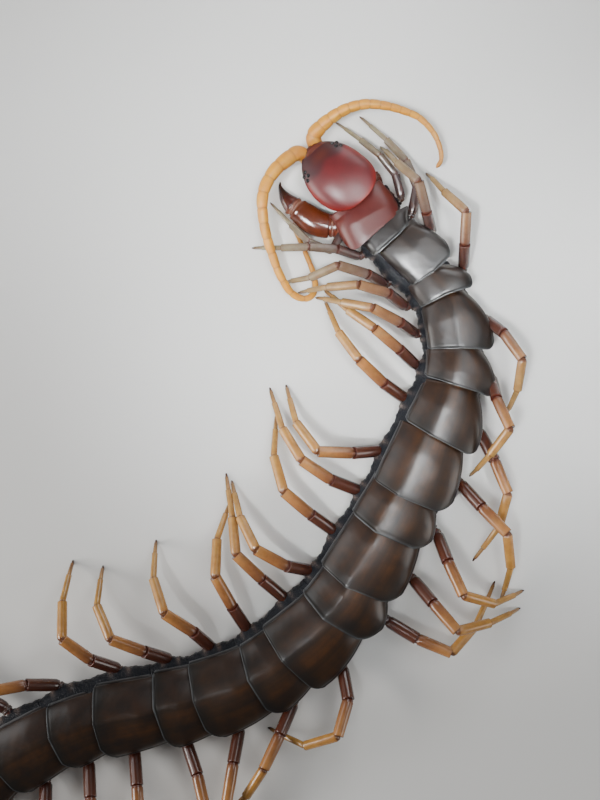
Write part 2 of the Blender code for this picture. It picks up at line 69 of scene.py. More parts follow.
def neck_to_tail():
    """Joints between segments, and the heading at each: the steps of each length and bearing are
    added up from the neck, and a heading is halfway between the bearings on both sides of it."""
    steps = SEGMENT_LENGTHS[:, None] * bearing_vector(SEGMENT_BEARINGS)
    joints = np.vstack([NECK, NECK + np.cumsum(steps, axis=0)])
    middle = (SEGMENT_BEARINGS[1:] + SEGMENT_BEARINGS[:-1]) / 2
    return joints, bearing_vector(np.array([NECK_BEARING, *middle, SEGMENT_BEARINGS[-1]]))


JOINTS, HEADINGS = neck_to_tail()


def course(t):
    """Places and tailward directions on the midline. Between two joints it is the cubic that
    passes through both with their headings, each as long as the segment; past an end it is straight."""
    t = np.asarray(t, float)
    k = np.clip(np.floor(t).astype(int), 0, SEGMENTS - 1)
    whole = (t - k)[..., None]
    f = np.clip(whole, 0.0, 1.0)
    length = SEGMENT_LENGTHS[k][..., None]
    a, b, u, v = JOINTS[k], JOINTS[k + 1], HEADINGS[k] * length, HEADINGS[k + 1] * length
    place = ((2 * f**3 - 3 * f**2 + 1) * a + (f**3 - 2 * f**2 + f) * u
             + (3 * f**2 - 2 * f**3) * b + (f**3 - f**2) * v)
    slope = ((6 * f**2 - 6 * f) * a + (3 * f**2 - 4 * f + 1) * u
             + (6 * f - 6 * f**2) * b + (3 * f**2 - 2 * f) * v)
    along = slope / np.linalg.norm(slope, axis=-1, keepdims=True)
    return place + (whole - f) * length * along, along


def on_body(t, sideways, up):
    """Points at sideways (to the left) and up from the midline: place + sideways × left + up × Z."""
    t, sideways, up = np.broadcast_arrays(t, sideways, up)
    place, along = course(t)
    left = np.stack([along[..., 1], -along[..., 0]], -1)
    return np.concatenate([place + sideways[..., None] * left, up[..., None]], -1)


def half_width(t):
    return np.interp(t, WIDTH_AT, HALF_WIDTHS)


def ring_faces(shells, rows, sides, ends):
    """Corner numbers of the quads between neighbouring rings, and of what closes the first and last
    ring: a fan to the ring's middle point, or a strip between its upper and lower half."""
    index = np.arange(shells * rows * sides).reshape(shells, rows, sides)
    after = np.roll(index, -1, axis=2)
    quads = np.stack([index[:, :-1], after[:, :-1], after[:, 1:], index[:, 1:]], -1).reshape(-1, 4)
    if ends == "strip":
        j = np.arange(sides // 2 - 1)
        strip = np.stack([j, sides - 1 - j, sides - 2 - j, j + 1], -1)
        front, rear = index[:, 0][:, strip], index[:, -1][:, strip[:, ::-1]]
        return np.concatenate([quads, front.reshape(-1, 4), rear.reshape(-1, 4)]), np.empty((0, 3), int)
    middle = shells * rows * sides + np.arange(2 * shells).reshape(2, shells, 1)
    first = np.stack(np.broadcast_arrays(middle[0], after[:, 0], index[:, 0]), -1)
    last = np.stack(np.broadcast_arrays(middle[1], index[:, -1], after[:, -1]), -1)
    return quads, np.concatenate([first.reshape(-1, 3), last.reshape(-1, 3)])


def loft(name, grid, finish, nodes, tint, ends="fan"):
    """One piece from closed rings of points, in an array of (shells, rows, sides, 3) or without the
    first axis. tint is one colour, one for each ring, or one for each point of a single shell. Faces are turned outwards
    by the sign of the volume, which is the sum of the corners' triple products over six."""
    grid = np.asarray(grid, float)
    single = grid.ndim == 3
    grid = grid[None] if single else grid
    shells, rows, sides = grid.shape[:3]
    quads, fans = ring_faces(shells, rows, sides, ends)
    points = grid.reshape(-1, 3)
    if ends == "fan":
        points = np.concatenate([points, grid[:, 0].mean(axis=1), grid[:, -1].mean(axis=1)])
    corners = points[np.concatenate([quads[:, :3], quads[:, [0, 2, 3]], fans])]
    volume = np.einsum("ij,ij->i", corners[:, 0], np.cross(corners[:, 1], corners[:, 2])).sum()
    if volume < 0:
        quads, fans = quads[:, ::-1], fans[:, ::-1]
    loops = np.concatenate([quads.ravel(), fans.ravel()])
    starts = np.concatenate([4 * np.arange(len(quads)), 4 * len(quads) + 3 * np.arange(len(fans))])
    mesh = bpy.data.meshes.new(name)
    mesh.vertices.add(len(points))
    mesh.vertices.foreach_set("co", (points * MM).astype(np.float32).ravel())
    mesh.loops.add(len(loops))
    mesh.loops.foreach_set("vertex_index", loops.astype(np.int32))
    mesh.polygons.add(len(starts))
    mesh.polygons.foreach_set("loop_start", starts.astype(np.int32))
    mesh.update(calc_edges=True)
    mesh.validate()
    mesh.shade_smooth()
    tint = np.asarray(tint, float)
    tint = tint[None] if single else tint
    tint = np.broadcast_to(tint if tint.ndim == 4 else tint[..., None, :], grid.shape)
    colours = tint.reshape(-1, 3)
    if ends == "fan":
        colours = np.concatenate([colours, tint[:, 0, 0], tint[:, -1, 0]])
    layer = mesh.attributes.new("tint", "FLOAT_COLOR", "POINT")
    layer.data.foreach_set("color", np.c_[colours, np.ones(len(colours))].astype(np.float32).ravel())
    mesh.materials.append(finish)
    piece = bpy.data.objects.new(name, mesh)
    bpy.context.scene.collection.objects.link(piece)
    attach(piece, "root")
    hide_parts(*nodes)
    return piece


def blend(a, b, share):
    """a where share is 0, b where it is 1, and in between a mix: a + (b - a) × share."""
    share = np.asarray(share, float)[..., None]
    return np.asarray(a, float) + (np.asarray(b, float) - np.asarray(a, float)) * share


def cuticle_detail():
    """The node group for what all hard parts share: cloudy darker patches, pores that roughen the
    surface a little, and a gloss that varies from place to place."""
    group = bpy.data.node_groups.new("cuticle_detail", "ShaderNodeTree")
    for name, kind in (("Tint", "Color"), ("Deep", "Color"), ("Patch Scale", "Float"), ("Patch Share", "Float"),
                       ("Pore Scale", "Float"), ("Pore Depth", "Float"), ("Gloss", "Float"), ("Dull", "Float")):
        group.interface.new_socket(name, in_out="INPUT", socket_type="NodeSocket" + kind)
    for name, kind in (("Colour", "Color"), ("Roughness", "Float"), ("Normal", "Vector")):
        group.interface.new_socket(name, in_out="OUTPUT", socket_type="NodeSocket" + kind)
    nodes, link = group.nodes, group.links.new
    given, given_out = nodes.new("NodeGroupInput"), nodes.new("NodeGroupOutput")
    place = nodes.new("ShaderNodeTexCoord")
    patches = nodes.new("ShaderNodeTexNoise")
    patches.inputs["Detail"].default_value = 4.0
    patches.inputs["Roughness"].default_value = 0.62
    link(place.outputs["Object"], patches.inputs["Vector"])
    link(given.outputs["Patch Scale"], patches.inputs["Scale"])
    spread = nodes.new("ShaderNodeMapRange")
    spread.inputs["From Min"].default_value = 0.36
    spread.inputs["From Max"].default_value = 0.68
    link(patches.outputs["Fac"], spread.inputs["Value"])
    link(given.outputs["Patch Share"], spread.inputs["To Max"])
    mixed = nodes.new("ShaderNodeMix")
    mixed.data_type = "RGBA"
    link(spread.outputs["Result"], mixed.inputs["Factor"])
    link(given.outputs["Tint"], mixed.inputs["A"])
    link(given.outputs["Deep"], mixed.inputs["B"])
    pores = nodes.new("ShaderNodeTexNoise")
    pores.inputs["Detail"].default_value = 3.0
    link(place.outputs["Object"], pores.inputs["Vector"])
    link(given.outputs["Pore Scale"], pores.inputs["Scale"])
    bump = nodes.new("ShaderNodeBump")
    link(given.outputs["Pore Depth"], bump.inputs["Distance"])
    link(pores.outputs["Fac"], bump.inputs["Height"])
    shine = nodes.new("ShaderNodeMapRange")
    link(pores.outputs["Fac"], shine.inputs["Value"])
    link(given.outputs["Gloss"], shine.inputs["To Min"])
    link(given.outputs["Dull"], shine.inputs["To Max"])
    link(mixed.outputs["Result"], given_out.inputs["Colour"])
    link(shine.outputs["Result"], given_out.inputs["Roughness"])
    link(bump.outputs["Normal"], given_out.inputs["Normal"])
    return group


CUTICLE_DETAIL = cuticle_detail()


def cuticle(name, deep, patch_scale, patch_share, pore_scale, pore_depth, gloss, dull, coat=0.0, glow=0.0, shine=0.5):
    """A hard part's material: its tint attribute, through the shared detail, on a glossy surface.
    glow is how much light passes into it, as it does in thin amber cuticle."""
    made = bpy.data.materials.new(name)
    made.use_nodes = True
    nodes, link = made.node_tree.nodes, made.node_tree.links.new
    surface = nodes["Principled BSDF"]
    tint = nodes.new("ShaderNodeAttribute")
    tint.attribute_name = "tint"
    detail = nodes.new("ShaderNodeGroup")
    detail.node_tree = CUTICLE_DETAIL
    detail.inputs["Deep"].default_value = (*deep, 1.0)
    for socket, value in (("Patch Scale", patch_scale), ("Patch Share", patch_share), ("Pore Scale", pore_scale),
                          ("Pore Depth", pore_depth), ("Gloss", gloss), ("Dull", dull)):
        detail.inputs[socket].default_value = value
    link(tint.outputs["Color"], detail.inputs["Tint"])
    link(detail.outputs["Colour"], surface.inputs["Base Color"])
    link(detail.outputs["Roughness"], surface.inputs["Roughness"])
    link(detail.outputs["Normal"], surface.inputs["Normal"])
    surface.inputs["Specular IOR Level"].default_value = shine
    surface.inputs["Coat Weight"].default_value = coat
    surface.inputs["Coat Roughness"].default_value = 0.12
    surface.inputs["Subsurface Weight"].default_value = glow
    surface.inputs["Subsurface Radius"].default_value = (1.0, 0.45, 0.18)
    surface.inputs["Subsurface Scale"].default_value = 0.7 * MM
    return made


SKIN_COLOUR = (0.004, 0.005, 0.008)
SKIN_PALE = (0.013, 0.014, 0.019)
MEMBRANE = (0.17, 0.125, 0.105)
SKIN_AT = (0.0, 2.0, 4.5, 6.0, 7.5, 9.5, 11.0, 12.5, 15.0, 17.0, 19.0, 21.0)
SKIN_LEFT = (5.3, 5.8, 6.2, 7.9, 9.2, 10.0, 9.7, 9.0, 8.4, 7.5, 6.5, 4.9)
SKIN_MIDDLE = 2.7
SKIN_RISE = 2.4
SKIN_FALL = 2.35
SKIN_ROWS = 36
SKIN_SIDES = 112


def skin_finish():
    """Soft skin: a net of fine creases along the edges of Voronoi cells, sunk by a bump and painted darker there as
    painted shade, under a fine noise bump.
    """
    made = bpy.data.materials.new("flank_skin")
    made.use_nodes = True
    nodes, link = made.node_tree.nodes, made.node_tree.links.new
    surface = nodes["Principled BSDF"]
    place = nodes.new("ShaderNodeTexCoord")
    tint = nodes.new("ShaderNodeAttribute")
    tint.attribute_name = "tint"
    folds = nodes.new("ShaderNodeTexVoronoi")
    folds.feature = "DISTANCE_TO_EDGE"
    folds.inputs["Scale"].default_value = 1900.0
    rough = nodes.new("ShaderNodeTexNoise")
    rough.inputs["Scale"].default_value = 900.0
    for texture in (folds, rough):
        link(place.outputs["Object"], texture.inputs["Vector"])
    edges = nodes.new("ShaderNodeMapRange")
    edges.inputs["From Max"].default_value = 0.12
    link(folds.outputs["Distance"], edges.inputs["Value"])
    # Painted shade: the colour goes to near black in the creases between the cells.
    dark = nodes.new("ShaderNodeMix")
    dark.data_type = "RGBA"
    dark.inputs["A"].default_value = (0.006, 0.007, 0.010, 1.0)
    link(edges.outputs["Result"], dark.inputs["Factor"])
    link(tint.outputs["Color"], dark.inputs["B"])
    link(dark.outputs["Result"], surface.inputs["Base Color"])
    creased = nodes.new("ShaderNodeBump")
    creased.inputs["Distance"].default_value = 0.05 * MM
    link(edges.outputs["Result"], creased.inputs["Height"])
    fine = nodes.new("ShaderNodeBump")
    fine.inputs["Distance"].default_value = 0.03 * MM
    link(rough.outputs["Fac"], fine.inputs["Height"])
    link(creased.outputs["Normal"], fine.inputs["Normal"])
    link(fine.outputs["Normal"], surface.inputs["Normal"])
    surface.inputs["Roughness"].default_value = 0.42
    surface.inputs["Specular IOR Level"].default_value = 0.2
    return made


SKIN_FINISH = skin_finish()


def flank_skin(first, last):
    """Rings round the body, each the box-like oval |cos|^0.6, |sin|^0.6. The width swells by
    (1 - cos 2πt)/2 round each leg's root, and two slanting waves of folds run over it."""
    t = np.linspace(first - 1, last, SKIN_ROWS * (last - first + 1))[:, None]
    angle = np.linspace(0.0, math.tau, SKIN_SIDES, endpoint=False)[None]
    across, up = np.cos(angle), np.sin(angle)
    side = np.sign(across)
    swell = 0.5 - 0.5 * np.cos(math.tau * t)
    flank = np.exp(-(up / 0.55) ** 2)
    folds = 0.10 * np.sin(math.tau * (5 * t + 0.35 * up * side)) + 0.06 * np.sin(math.tau * (12 * t - 0.9 * up))
    left = np.interp(t, SKIN_AT, SKIN_LEFT) - 0.35 + 0.7 * swell
    right = half_width(t) * (0.865 + 0.075 * swell)
    wide = np.where(side > 0, left, right) + folds * flank
    sideways = wide * side * np.abs(across) ** 0.6
    height = SKIN_MIDDLE + np.where(up > 0, SKIN_RISE, SKIN_FALL) * np.sign(up) * np.abs(up) ** 0.6
    pale = np.clip(flank * (0.25 + 0.5 * swell), 0, 1) * np.ones_like(t)
    tint = blend(SKIN_COLOUR, SKIN_PALE, pale)
    root = np.abs(t % 1 - 0.5) * SEGMENT_LENGTHS[np.clip(t.astype(int), 0, SEGMENTS - 1)]
    tint = blend(tint, MEMBRANE, 0.85 * np.exp(-((root - 1.7) / 0.45) ** 2) * np.exp(-((up - 0.2) / 0.35) ** 2))
    name = f"flank_skin_{first:02d}_{last:02d}"
    node = "trunk_01" if first == 1 else f"trunk_{first:02d}_{last:02d}"
    return loft(name, on_body(t, sideways, height), SKIN_FINISH, [node], tint=tint)


for first, last in TRUNK_GROUPS:
    flank_skin(first, last)


# THE BELLY PLATES
# One thin, flat, tan-brown plate of cuticle under each segment, with two long grooves.
# The animal rests on them.

BELLY_SHARE = 0.60
BELLY_THICKNESS = 0.5
BELLY_COLOUR = (0.16, 0.075, 0.035)
BELLY_EDGE_COLOUR = (0.055, 0.026, 0.016)
BELLY_FINISH = cuticle("belly_plate", deep=(0.06, 0.025, 0.012), patch_scale=420.0, patch_share=0.5,
                       pore_scale=2600.0, pore_depth=0.03 * MM, gloss=0.28, dull=0.40)


def trunk_node(k):
    """The name of the solid that holds segment k."""
    first, last = next(group for group in TRUNK_GROUPS if group[0] <= k <= group[1])
    return "trunk_01" if first == 1 else f"trunk_{first:02d}_{last:02d}"


def belly_plate(k):
    """A pillow over a rectangle with round corners: flat below, its rim rising by a bell curve
    of the distance to the nearest edge, with a groove at 0.45 of the half width on each side."""
    s = np.sin(np.linspace(-1, 1, 49) * math.pi / 2)[None]
    a = np.linspace(0, 1, 28)[:, None]
    ends = np.where(np.abs(s) > 0.75, 1 - np.sqrt(np.maximum(1 - ((np.abs(s) - 0.75) / 0.25) ** 2, 0)), 0)
    length = SEGMENT_LENGTHS[k - 1]
    near, far = (0.25 + 0.9 * ends) / length, (0.05 + 1.1 * ends) / length
    t = k - 1 + near + a * (1 - near - far)
    wide = half_width(t) * BELLY_SHARE * (0.94 + 0.06 * np.sin(math.pi * a))
    to_edge = np.minimum((1 - np.abs(s)) * wide, np.minimum(a, 1 - a) * length)
    rim = 0.30 * np.exp(-(to_edge / 0.35) ** 2)
    groove = 0.09 * np.exp(-((np.abs(s) - 0.45) * wide / 0.16) ** 2)
    under = on_body(t, s * wide, rim + groove)
    above = on_body(t, s * wide, BELLY_THICKNESS + 0 * rim)
    ring = np.concatenate([above, under[:, ::-1]], axis=1)
    shade = np.clip(rim / 0.30 + groove / 0.09, 0, 1)
    tint = blend(BELLY_COLOUR, BELLY_EDGE_COLOUR, np.concatenate([shade, shade[:, ::-1]], axis=1))
    return loft(f"belly_plate_{k:02d}", ring, BELLY_FINISH, [trunk_node(k)],
                ends="strip", tint=tint)


for k in range(2, SEGMENTS + 1):
    belly_plate(k)


# THE BACK PLATES
# 21 arched plates of thick, glossy cuticle, long and short ones in turn. Each lies over the
# front of the next one and is thickened to a rim at its rear and, behind the fourth, at its sides.

PLATE_EDGE_HEIGHT = 4.9
CROWN_PER_HALF_WIDTH = 0.42
PLATE_THICKNESS = 0.34
PLATE_ROWS = 56
PLATE_ACROSS = 121
TUCK = 1.1
CORNERS = (0.85, 2.0)  # how far they turn forward at the left and right
ROOF_AT = ((1, 2, 3, 4, 5, 7, 11, 13), (0.0, 0.35, 0.30, 0.22, 0.30, 0.40, 0.38, 0.26))  # plate number, share that is a roof

# For each plate: half its width, its middle left of the body's, how much narrower it is in front on
# the left and right, its ridge as a share of the half width, and how far its rear edge lies behind
# the joint at the left, at the ridge, on the right and at the right corner
PLATE_FORMS = (
    (6.60, 1.40, 0.06, 0.05, 0.10, 0.9, 0.5, -0.1, -1.2), (5.00, -0.10, 0.00, -0.34, -0.30, -0.3, -0.3, -0.5, -0.6),
    (5.55, -1.85, 0.00, 0.20, 0.08, -0.5, 0.1, -0.2, -1.3), (5.90, -1.20, 0.00, 0.50, 0.13, -0.6, -0.7, -0.2, 0.1),
    (6.70, -1.10, 0.12, 0.46, 0.10, -1.0, -0.5, 0.0, 0.2), (7.20, -1.10, 0.02, 0.44, 0.21, -1.6, -0.9, -0.4, 0.2),
    (7.85, -1.05, 0.10, 0.42, 0.25, -1.3, -0.4, 0.3, 0.4), (8.20, -0.30, 0.06, 0.24, 0.30, 0.6, 1.4, 0.9, -0.3),
    (8.45, 0.15, 0.06, 0.32, 0.33, 0.4, 1.4, 0.6, -0.9), (8.60, 0.10, 0.05, 0.18, 0.23, 1.2, 2.2, 0.9, -0.8),
    (8.60, -0.50, 0.04, 0.30, 0.24, 2.5, 3.0, 1.3, -0.9), (8.65, -0.75, 0.04, 0.28, 0.13, 0.9, 1.4, 0.4, -0.3),
    (8.15, -0.90, 0.02, 0.15, 0.19, -0.7, 0.7, 0.1, -1.2), (8.25, -0.65, 0.04, 0.12, 0.13, 0.1, 0.7, 0.0, -1.6),
    (8.05, -0.85, 0.02, 0.12, 0.15, -0.4, 0.5, -0.4, -1.9), (7.65, -0.95, 0.02, 0.12, 0.07, -1.4, 0.1, 0.2, -1.3),
    (7.10, -1.30, 0.02, 0.10, 0.15, -1.3, 0.3, 0.2, -1.7), (7.20, -1.10, 0.02, 0.10, 0.10, -1.0, 0.4, 0.1, -1.3),
    (7.00, -0.50, 0.04, 0.10, 0.05, -0.8, 0.5, 0.2, -1.0), (6.60, -0.20, 0.05, 0.08, 0.00, -0.6, 0.6, 0.4, -0.8),
    (5.50, 0.00, 0.05, 0.05, 0.00, -1.2, 0.9, 0.6, -1.0),
)
PLATE_SLATE = (0.014, 0.012, 0.012)
PLATE_DARK = (0.016, 0.009, 0.005)
PLATE_BROWN = (0.062, 0.023, 0.006)
PLATE_MAUVE = (0.028, 0.014, 0.009)
PLATE_REAR = (0.003, 0.006, 0.006)
# The colour of a painted highlight: a light grey-blue line along the rims.
PLATE_RIM_HIGHLIGHT = (0.080, 0.086, 0.092)
FIRST_PLATE = (0.085, 0.014, 0.011)
FIRST_PLATE_EDGE = (0.095, 0.013, 0.007)
PLATE_FINISH = cuticle("back_plate", deep=(0.007, 0.006, 0.006), patch_scale=330.0, patch_share=0.65,
                       pore_scale=2200.0, pore_depth=0.004 * MM, gloss=0.28, dull=0.36, shine=0.6)
SLATE_FINISH = cuticle("front_plate", deep=(0.009, 0.008, 0.008), patch_scale=260.0, patch_share=0.40,
                       pore_scale=1500.0, pore_depth=0.004 * MM, gloss=0.28, dull=0.36, shine=0.9)
SHIELD_FINISH = cuticle("head_shield", deep=(0.060, 0.008, 0.009), patch_scale=300.0, patch_share=0.55,
                        pore_scale=1700.0, pore_depth=0.002 * MM, gloss=0.32, dull=0.40, shine=0.5)


def joint_offset(k, distance):
    """The t at this distance in millimetres behind joint k, or ahead of it where it is negative."""
    ahead = SEGMENT_LENGTHS[max(k - 1, 0)]
    behind = SEGMENT_LENGTHS[min(k, SEGMENTS - 1)]
    return k + np.where(distance < 0, distance / ahead, distance / behind)


def surface_normals(grid):
    """Unit normals of a grid of points: the cross product of its slopes both ways, turned to +Z."""
    normal = np.cross(np.gradient(grid, axis=0), np.gradient(grid, axis=1))
    normal /= np.maximum(np.linalg.norm(normal, axis=-1, keepdims=True), 1e-9)
    return normal * np.sign(normal[len(normal) // 2, normal.shape[1] // 2, 2])


def bell(distance, width):
    """exp(-(distance / width)²): 1 at no distance, and nearly 0 at twice the width."""
    return np.exp(-(distance / width) ** 2)


def streaks(sideways, k):
    """From -1 to 1 across a plate: three sine waves 5, 2.1 and 0.9 mm long, shifted on each plate."""
    long, middling, short = (np.sin(math.tau * sideways / wave + 1.9 * k) for wave in (5.0, 2.1, 0.9))
    return 0.5 * long + 0.3 * middling + 0.2 * short


def back_plate(k):
    """A low roof, half an arch (1 - s^2.3)^0.62 and half two flat slopes that meet at the ridge, with s
    from -1 to 1 across it. The rear edge runs straight between its four given places and turns round at
    the corners. Rims and their furrows are bell curves, raised or sunk along the normals. A light grey
    line painted along the rims is a painted highlight, and the side furrows are painted near black as
    painted shade."""
    half, middle, left_cut, right_cut, ridge, *rear_edge = PLATE_FORMS[k - 1]
    s = np.sin(np.linspace(-1, 1, PLATE_ACROSS) * math.pi / 2)[None]
    a = 1 - (1 - np.linspace(0, 1, PLATE_ROWS)[:, None]) ** 1.5
    out = np.abs(s)
    turn = np.where(s > 0, CORNERS[0], CORNERS[1]) if k > 1 else 2.0
    corner = turn * (1 - np.sqrt(np.maximum(1 - (np.clip(out - 1 + 0.14 * turn, 0, 1) / 0.14 / turn) ** 2, 0)))
    behind = np.interp(s, (-1.0, -0.65, ridge, 1.0), rear_edge[::-1])
    rear = joint_offset(k, behind - corner)
    front = joint_offset(k - 1, -TUCK if k > 1 else -1.5)
    t = front + a * (rear - front)
    length = SEGMENT_LENGTHS[k - 1]
    share = np.clip(t - (k - 1), 0, 1.0)
    widened = 1 - (1 - np.clip(share * 1.35, 0, 1)) ** 1.6
    wide = half * (1 - np.where(s > 0, left_cut, right_cut) * (1 - widened))
    crown = CROWN_PER_HALF_WIDTH * half_width(t)
    to_ridge = np.abs(s - ridge) / np.where(s > ridge, 1 - ridge, 1 + ridge)
    blunt = np.interp(k, (8, 10), (0.12, 0.05))
    roof = 1 + blunt - np.hypot(to_ridge, blunt)
    flat = np.interp(k, *ROOF_AT)
    power, bend = (6.0, 0.5) if k in (2, 3) else (2.3, 0.62)
    arch = (1 - flat) * (1 - out**power) ** bend + flat * roof
    from_front = (t - (k - 1)) * length
    sunk = -0.62 * np.clip(1 - from_front / 4.2, 0, 1.25) ** 1.5
    if k == 1:
        sunk = -1.35 * np.clip(1 - (from_front + 1.5) / 5.0, 0, 1) ** 1.3
    height = PLATE_EDGE_HEIGHT + crown * arch + sunk + 0.10 * share**3
    base = on_body(t, middle + s * wide, height)
    normal = surface_normals(base)
    to_rear = (rear - t) * length
    to_side = np.hypot((1 - out) * wide, crown * arch)
    margined = float(np.clip((k - 3) / 5, 0, 1))
    rim = 0.035 * bell(to_rear - 0.15, 0.15) * (k > 1)
    furrow = 0.025 * bell(to_rear - 0.50, 0.20) * (k > 1)
    side_rim = margined * np.where(s > 0, 0.12, 0.06) * bell(to_side - 0.26, 0.18)
    side_furrow = margined * np.where(s > 0, 0.10, 0.05) * bell(to_side - 0.66, 0.18)
    dimples = np.interp(k, (4, 6), (0.012, 0.03)) * np.sin(5.1 * s + 1.7 * k) * np.sin(0.8 * from_front + 2.3 * k)
    dimples = dimples + 0.006 * np.sin(17 * s + 2.9 * k + 0.7 * from_front) * np.sin(2.3 * from_front + k)
    relief = rim + side_rim + dimples - furrow - side_furrow
    top = base + relief[..., None] * normal
    edge = np.minimum(to_rear, to_side)
    thick = PLATE_THICKNESS * (0.30 + 0.70 * np.clip(edge / 0.9, 0, 1) ** 0.5)
    under = base - thick[..., None] * normal
    ring = np.concatenate([top, under[:, ::-1]], axis=1)
    if k == 1:
        edges = np.clip(bell(to_side, 2.6) + 0.6 * bell(to_rear, 0.7), 0, 1)
        tint = blend(FIRST_PLATE, FIRST_PLATE_EDGE, edges)
        finish, slot = SHIELD_FINISH, "head_shell"
    else:
        warm = float(np.interp(k, (2, 4, 6, 8, 12), (0.1, 0.3, 0.5, 0.9, 1.0)))
        brown = warm * (0.25 + 0.75 * bell(s - ridge + 0.25, 0.6)) * np.clip(1.15 - share, 0, 1) ** 0.3
        brown = brown * np.interp(k, (11, 13, 17), (1.0, 0.6, 0.35)) * (1 + 0.8 * streaks(s * half, k))
        tint = blend(blend(PLATE_SLATE, PLATE_DARK, warm), PLATE_BROWN, brown)
        tint = blend(tint, PLATE_MAUVE, 0.8 * warm * np.clip((s - ridge) / 0.25, 0, 1) * np.clip(1.2 - share, 0, 1))
        band = np.clip(1 - to_rear / (0.20 * length + 0.6), 0, 1) ** 0.8
        tint = blend(tint, PLATE_REAR, 0.75 * band)
        # Painted highlight: a light grey-blue line along the rear rim and the side rims, stronger on the left.
        line = 0.8 * bell(to_rear - 0.10, 0.10) + margined * np.where(s > 0, 1.0, 0.45) * bell(to_side - 0.26, 0.15)
        tint = blend(tint, PLATE_RIM_HIGHLIGHT, np.clip(line, 0, 1))
        # Painted shade: the sunk side furrow inside each rim is painted nearly black.
        tint = blend(tint, (0.004, 0.004, 0.005), 0.95 * margined * bell(to_side - 0.66, 0.19))
        finish, slot = SLATE_FINISH if k < 5 else PLATE_FINISH, "back_plate"
    tint = np.concatenate([tint, tint[:, ::-1]], axis=1)
    return loft(f"back_plate_{k:02d}", ring, finish, [trunk_node(k)], ends="strip", tint=tint)


for k in range(1, SEGMENTS + 1):
    back_plate(k)


# THE WALKING LEGS
# 20 pairs, each of a hip in the flank, five hollow articles of glossy cuticle and a horny claw.
# Each article's narrow neck sits in the flared rim of the one before it.

FLANK_SHARE = 0.86
GAP = 0.3
LEG_SIZE_AT = (1, 2, 3, 6, 8, 17, 20)
LEG_SIZES = (0.68, 0.78, 0.88, 0.93, 1.0, 1.0, 1.12)
HIP_HEIGHT = 2.85
HIP_LENGTHS = (0.9, 1.0)
HIP_RADII = (1.12, 1.08)
ARTICLE_LENGTHS = np.array((6.9, 7.3, 7.6, 6.0, 3.0))
ARTICLE_NEAR = np.array((1.26, 1.22, 1.04, 0.66, 0.44))
ARTICLE_FAR = np.array((1.29, 1.14, 0.98, 0.58, 0.36))
CLAW_DROP = 0.5
SHIN_DROOP = np.array((0.75, 1.15, 1.5))

# The pose of each leg in turn, front to rear: where the prefemur, femur, tibia and tarsi
# point, counted forward from straight out sideways, and how far the prefemur is raised
LEFT_POSE = (
    (-34, 48, 72, 76, 4), (54, 42, 40, 44, 30), (70, 62, 26, 42, 48), (66, 48, 32, 28, 46),
    (44, 40, 27, 30, 52), (33, 32, 30, 38, 42), (11, 20, 32, 46, 36), (-26, -20, 30, 52, 34),
    (-6, 6, 30, 44, 24), (6, 10, 43, 62, 26), (-17, -3, 28, 40, 42), (-7, -5, 34, 30, 24),
    (5, 6, 35, 52, 34), (-20, -34, -2, 18, 44), (-52, -56, -18, 12, 42), (-52, -40, 6, 18, 38),
    (-62, -78, -88, -92, 32), (-30, -22, -8, 6, 8), (-6, -2, 14, 26, 28), (-22, -32, -42, -52, 24),
)
RIGHT_POSE = (
    (78, 102, 112, 114, 4), (40, 74, 92, 96, 5), (66, 60, 86, 76, 50), (60, 56, 98, 88, 48),
    (-62, -72, -108, -120, 50), (-80, -62, -116, -118, 50), (-42, -46, -80, -100, 19),
    (-27, -24, -58, -76, 34), (-44, -38, 10, 42, 42), (-18, -18, 40, 46, 40),
    (4, 12, 80, 96, 14), (-30, -58, -108, -146, 36), (-60, -60, -64, -72, 30),
    (-30, -29, -32, -40, 30), (14, 5, -2, 6, 30), (-1, -4, -10, -2, 30), (-12, -12, -18, -24, 30),
    (-24, -26, -30, -36, 28), (-36, -38, -42, -48, 28), (-50, -52, -56, -62, 24),
)

# Rows of an article, from the ball inside the joint to the recess in its far end: share of its
# length, distance along it in radii, share of its radius, and how red and dark the joint is there
ARTICLE_ROWS = np.array((
    (0, -0.42, 0.06, 1.0), (0, -0.36, 0.40, 1.0), (0, -0.18, 0.70, 1.0), (0, 0.00, 0.84, 1.0),
    (0, 0.10, 0.86, 1.0), (0, 0.18, 0.87, 0.8), (0, 0.28, 0.94, 0.3), (0, 0.44, 0.985, 0.05),
    (0.1, 0.5, 1.00, 0.0), (0.3, 0.2, 1.01, 0.0), (0.5, 0.0, 1.015, 0.0), (0.7, -0.2, 1.01, 0.0),
    (0.9, -0.5, 1.00, 0.0), (1, -0.50, 1.00, 0.0), (1, -0.28, 1.00, 0.05), (1, -0.12, 1.00, 0.25),
    (1, -0.03, 0.985, 0.7), (1, 0.00, 0.93, 1.0), (1, -0.03, 0.80, 1.0), (1, -0.06, 0.06, 1.0),
))
LEG_SIDES = 20
JOINT_RED = (0.070, 0.013, 0.008)

# Colours at the near and far end of the two hip rings and of the five articles
WARM_LEG = np.array((
    ((0.016, 0.012, 0.012), (0.050, 0.036, 0.032)), ((0.070, 0.050, 0.045), (0.045, 0.022, 0.020)),
    ((0.036, 0.011, 0.008), (0.085, 0.026, 0.014)), ((0.165, 0.062, 0.026), (0.430, 0.195, 0.058)),
    ((0.430, 0.205, 0.052), (0.440, 0.225, 0.050)), ((0.430, 0.225, 0.052), (0.380, 0.205, 0.055)),
    ((0.350, 0.190, 0.055), (0.200, 0.095, 0.030)),
))
GREY_LEG = np.array((
    ((0.016, 0.012, 0.012), (0.045, 0.034, 0.032)), ((0.070, 0.055, 0.050), (0.040, 0.026, 0.025)),
    ((0.040, 0.020, 0.021), (0.075, 0.046, 0.042)), ((0.095, 0.066, 0.056), (0.150, 0.114, 0.084)),
    ((0.165, 0.128, 0.090), (0.210, 0.170, 0.106)), ((0.220, 0.180, 0.105), (0.230, 0.185, 0.100)),
    ((0.210, 0.160, 0.085), (0.120, 0.080, 0.042)),
))
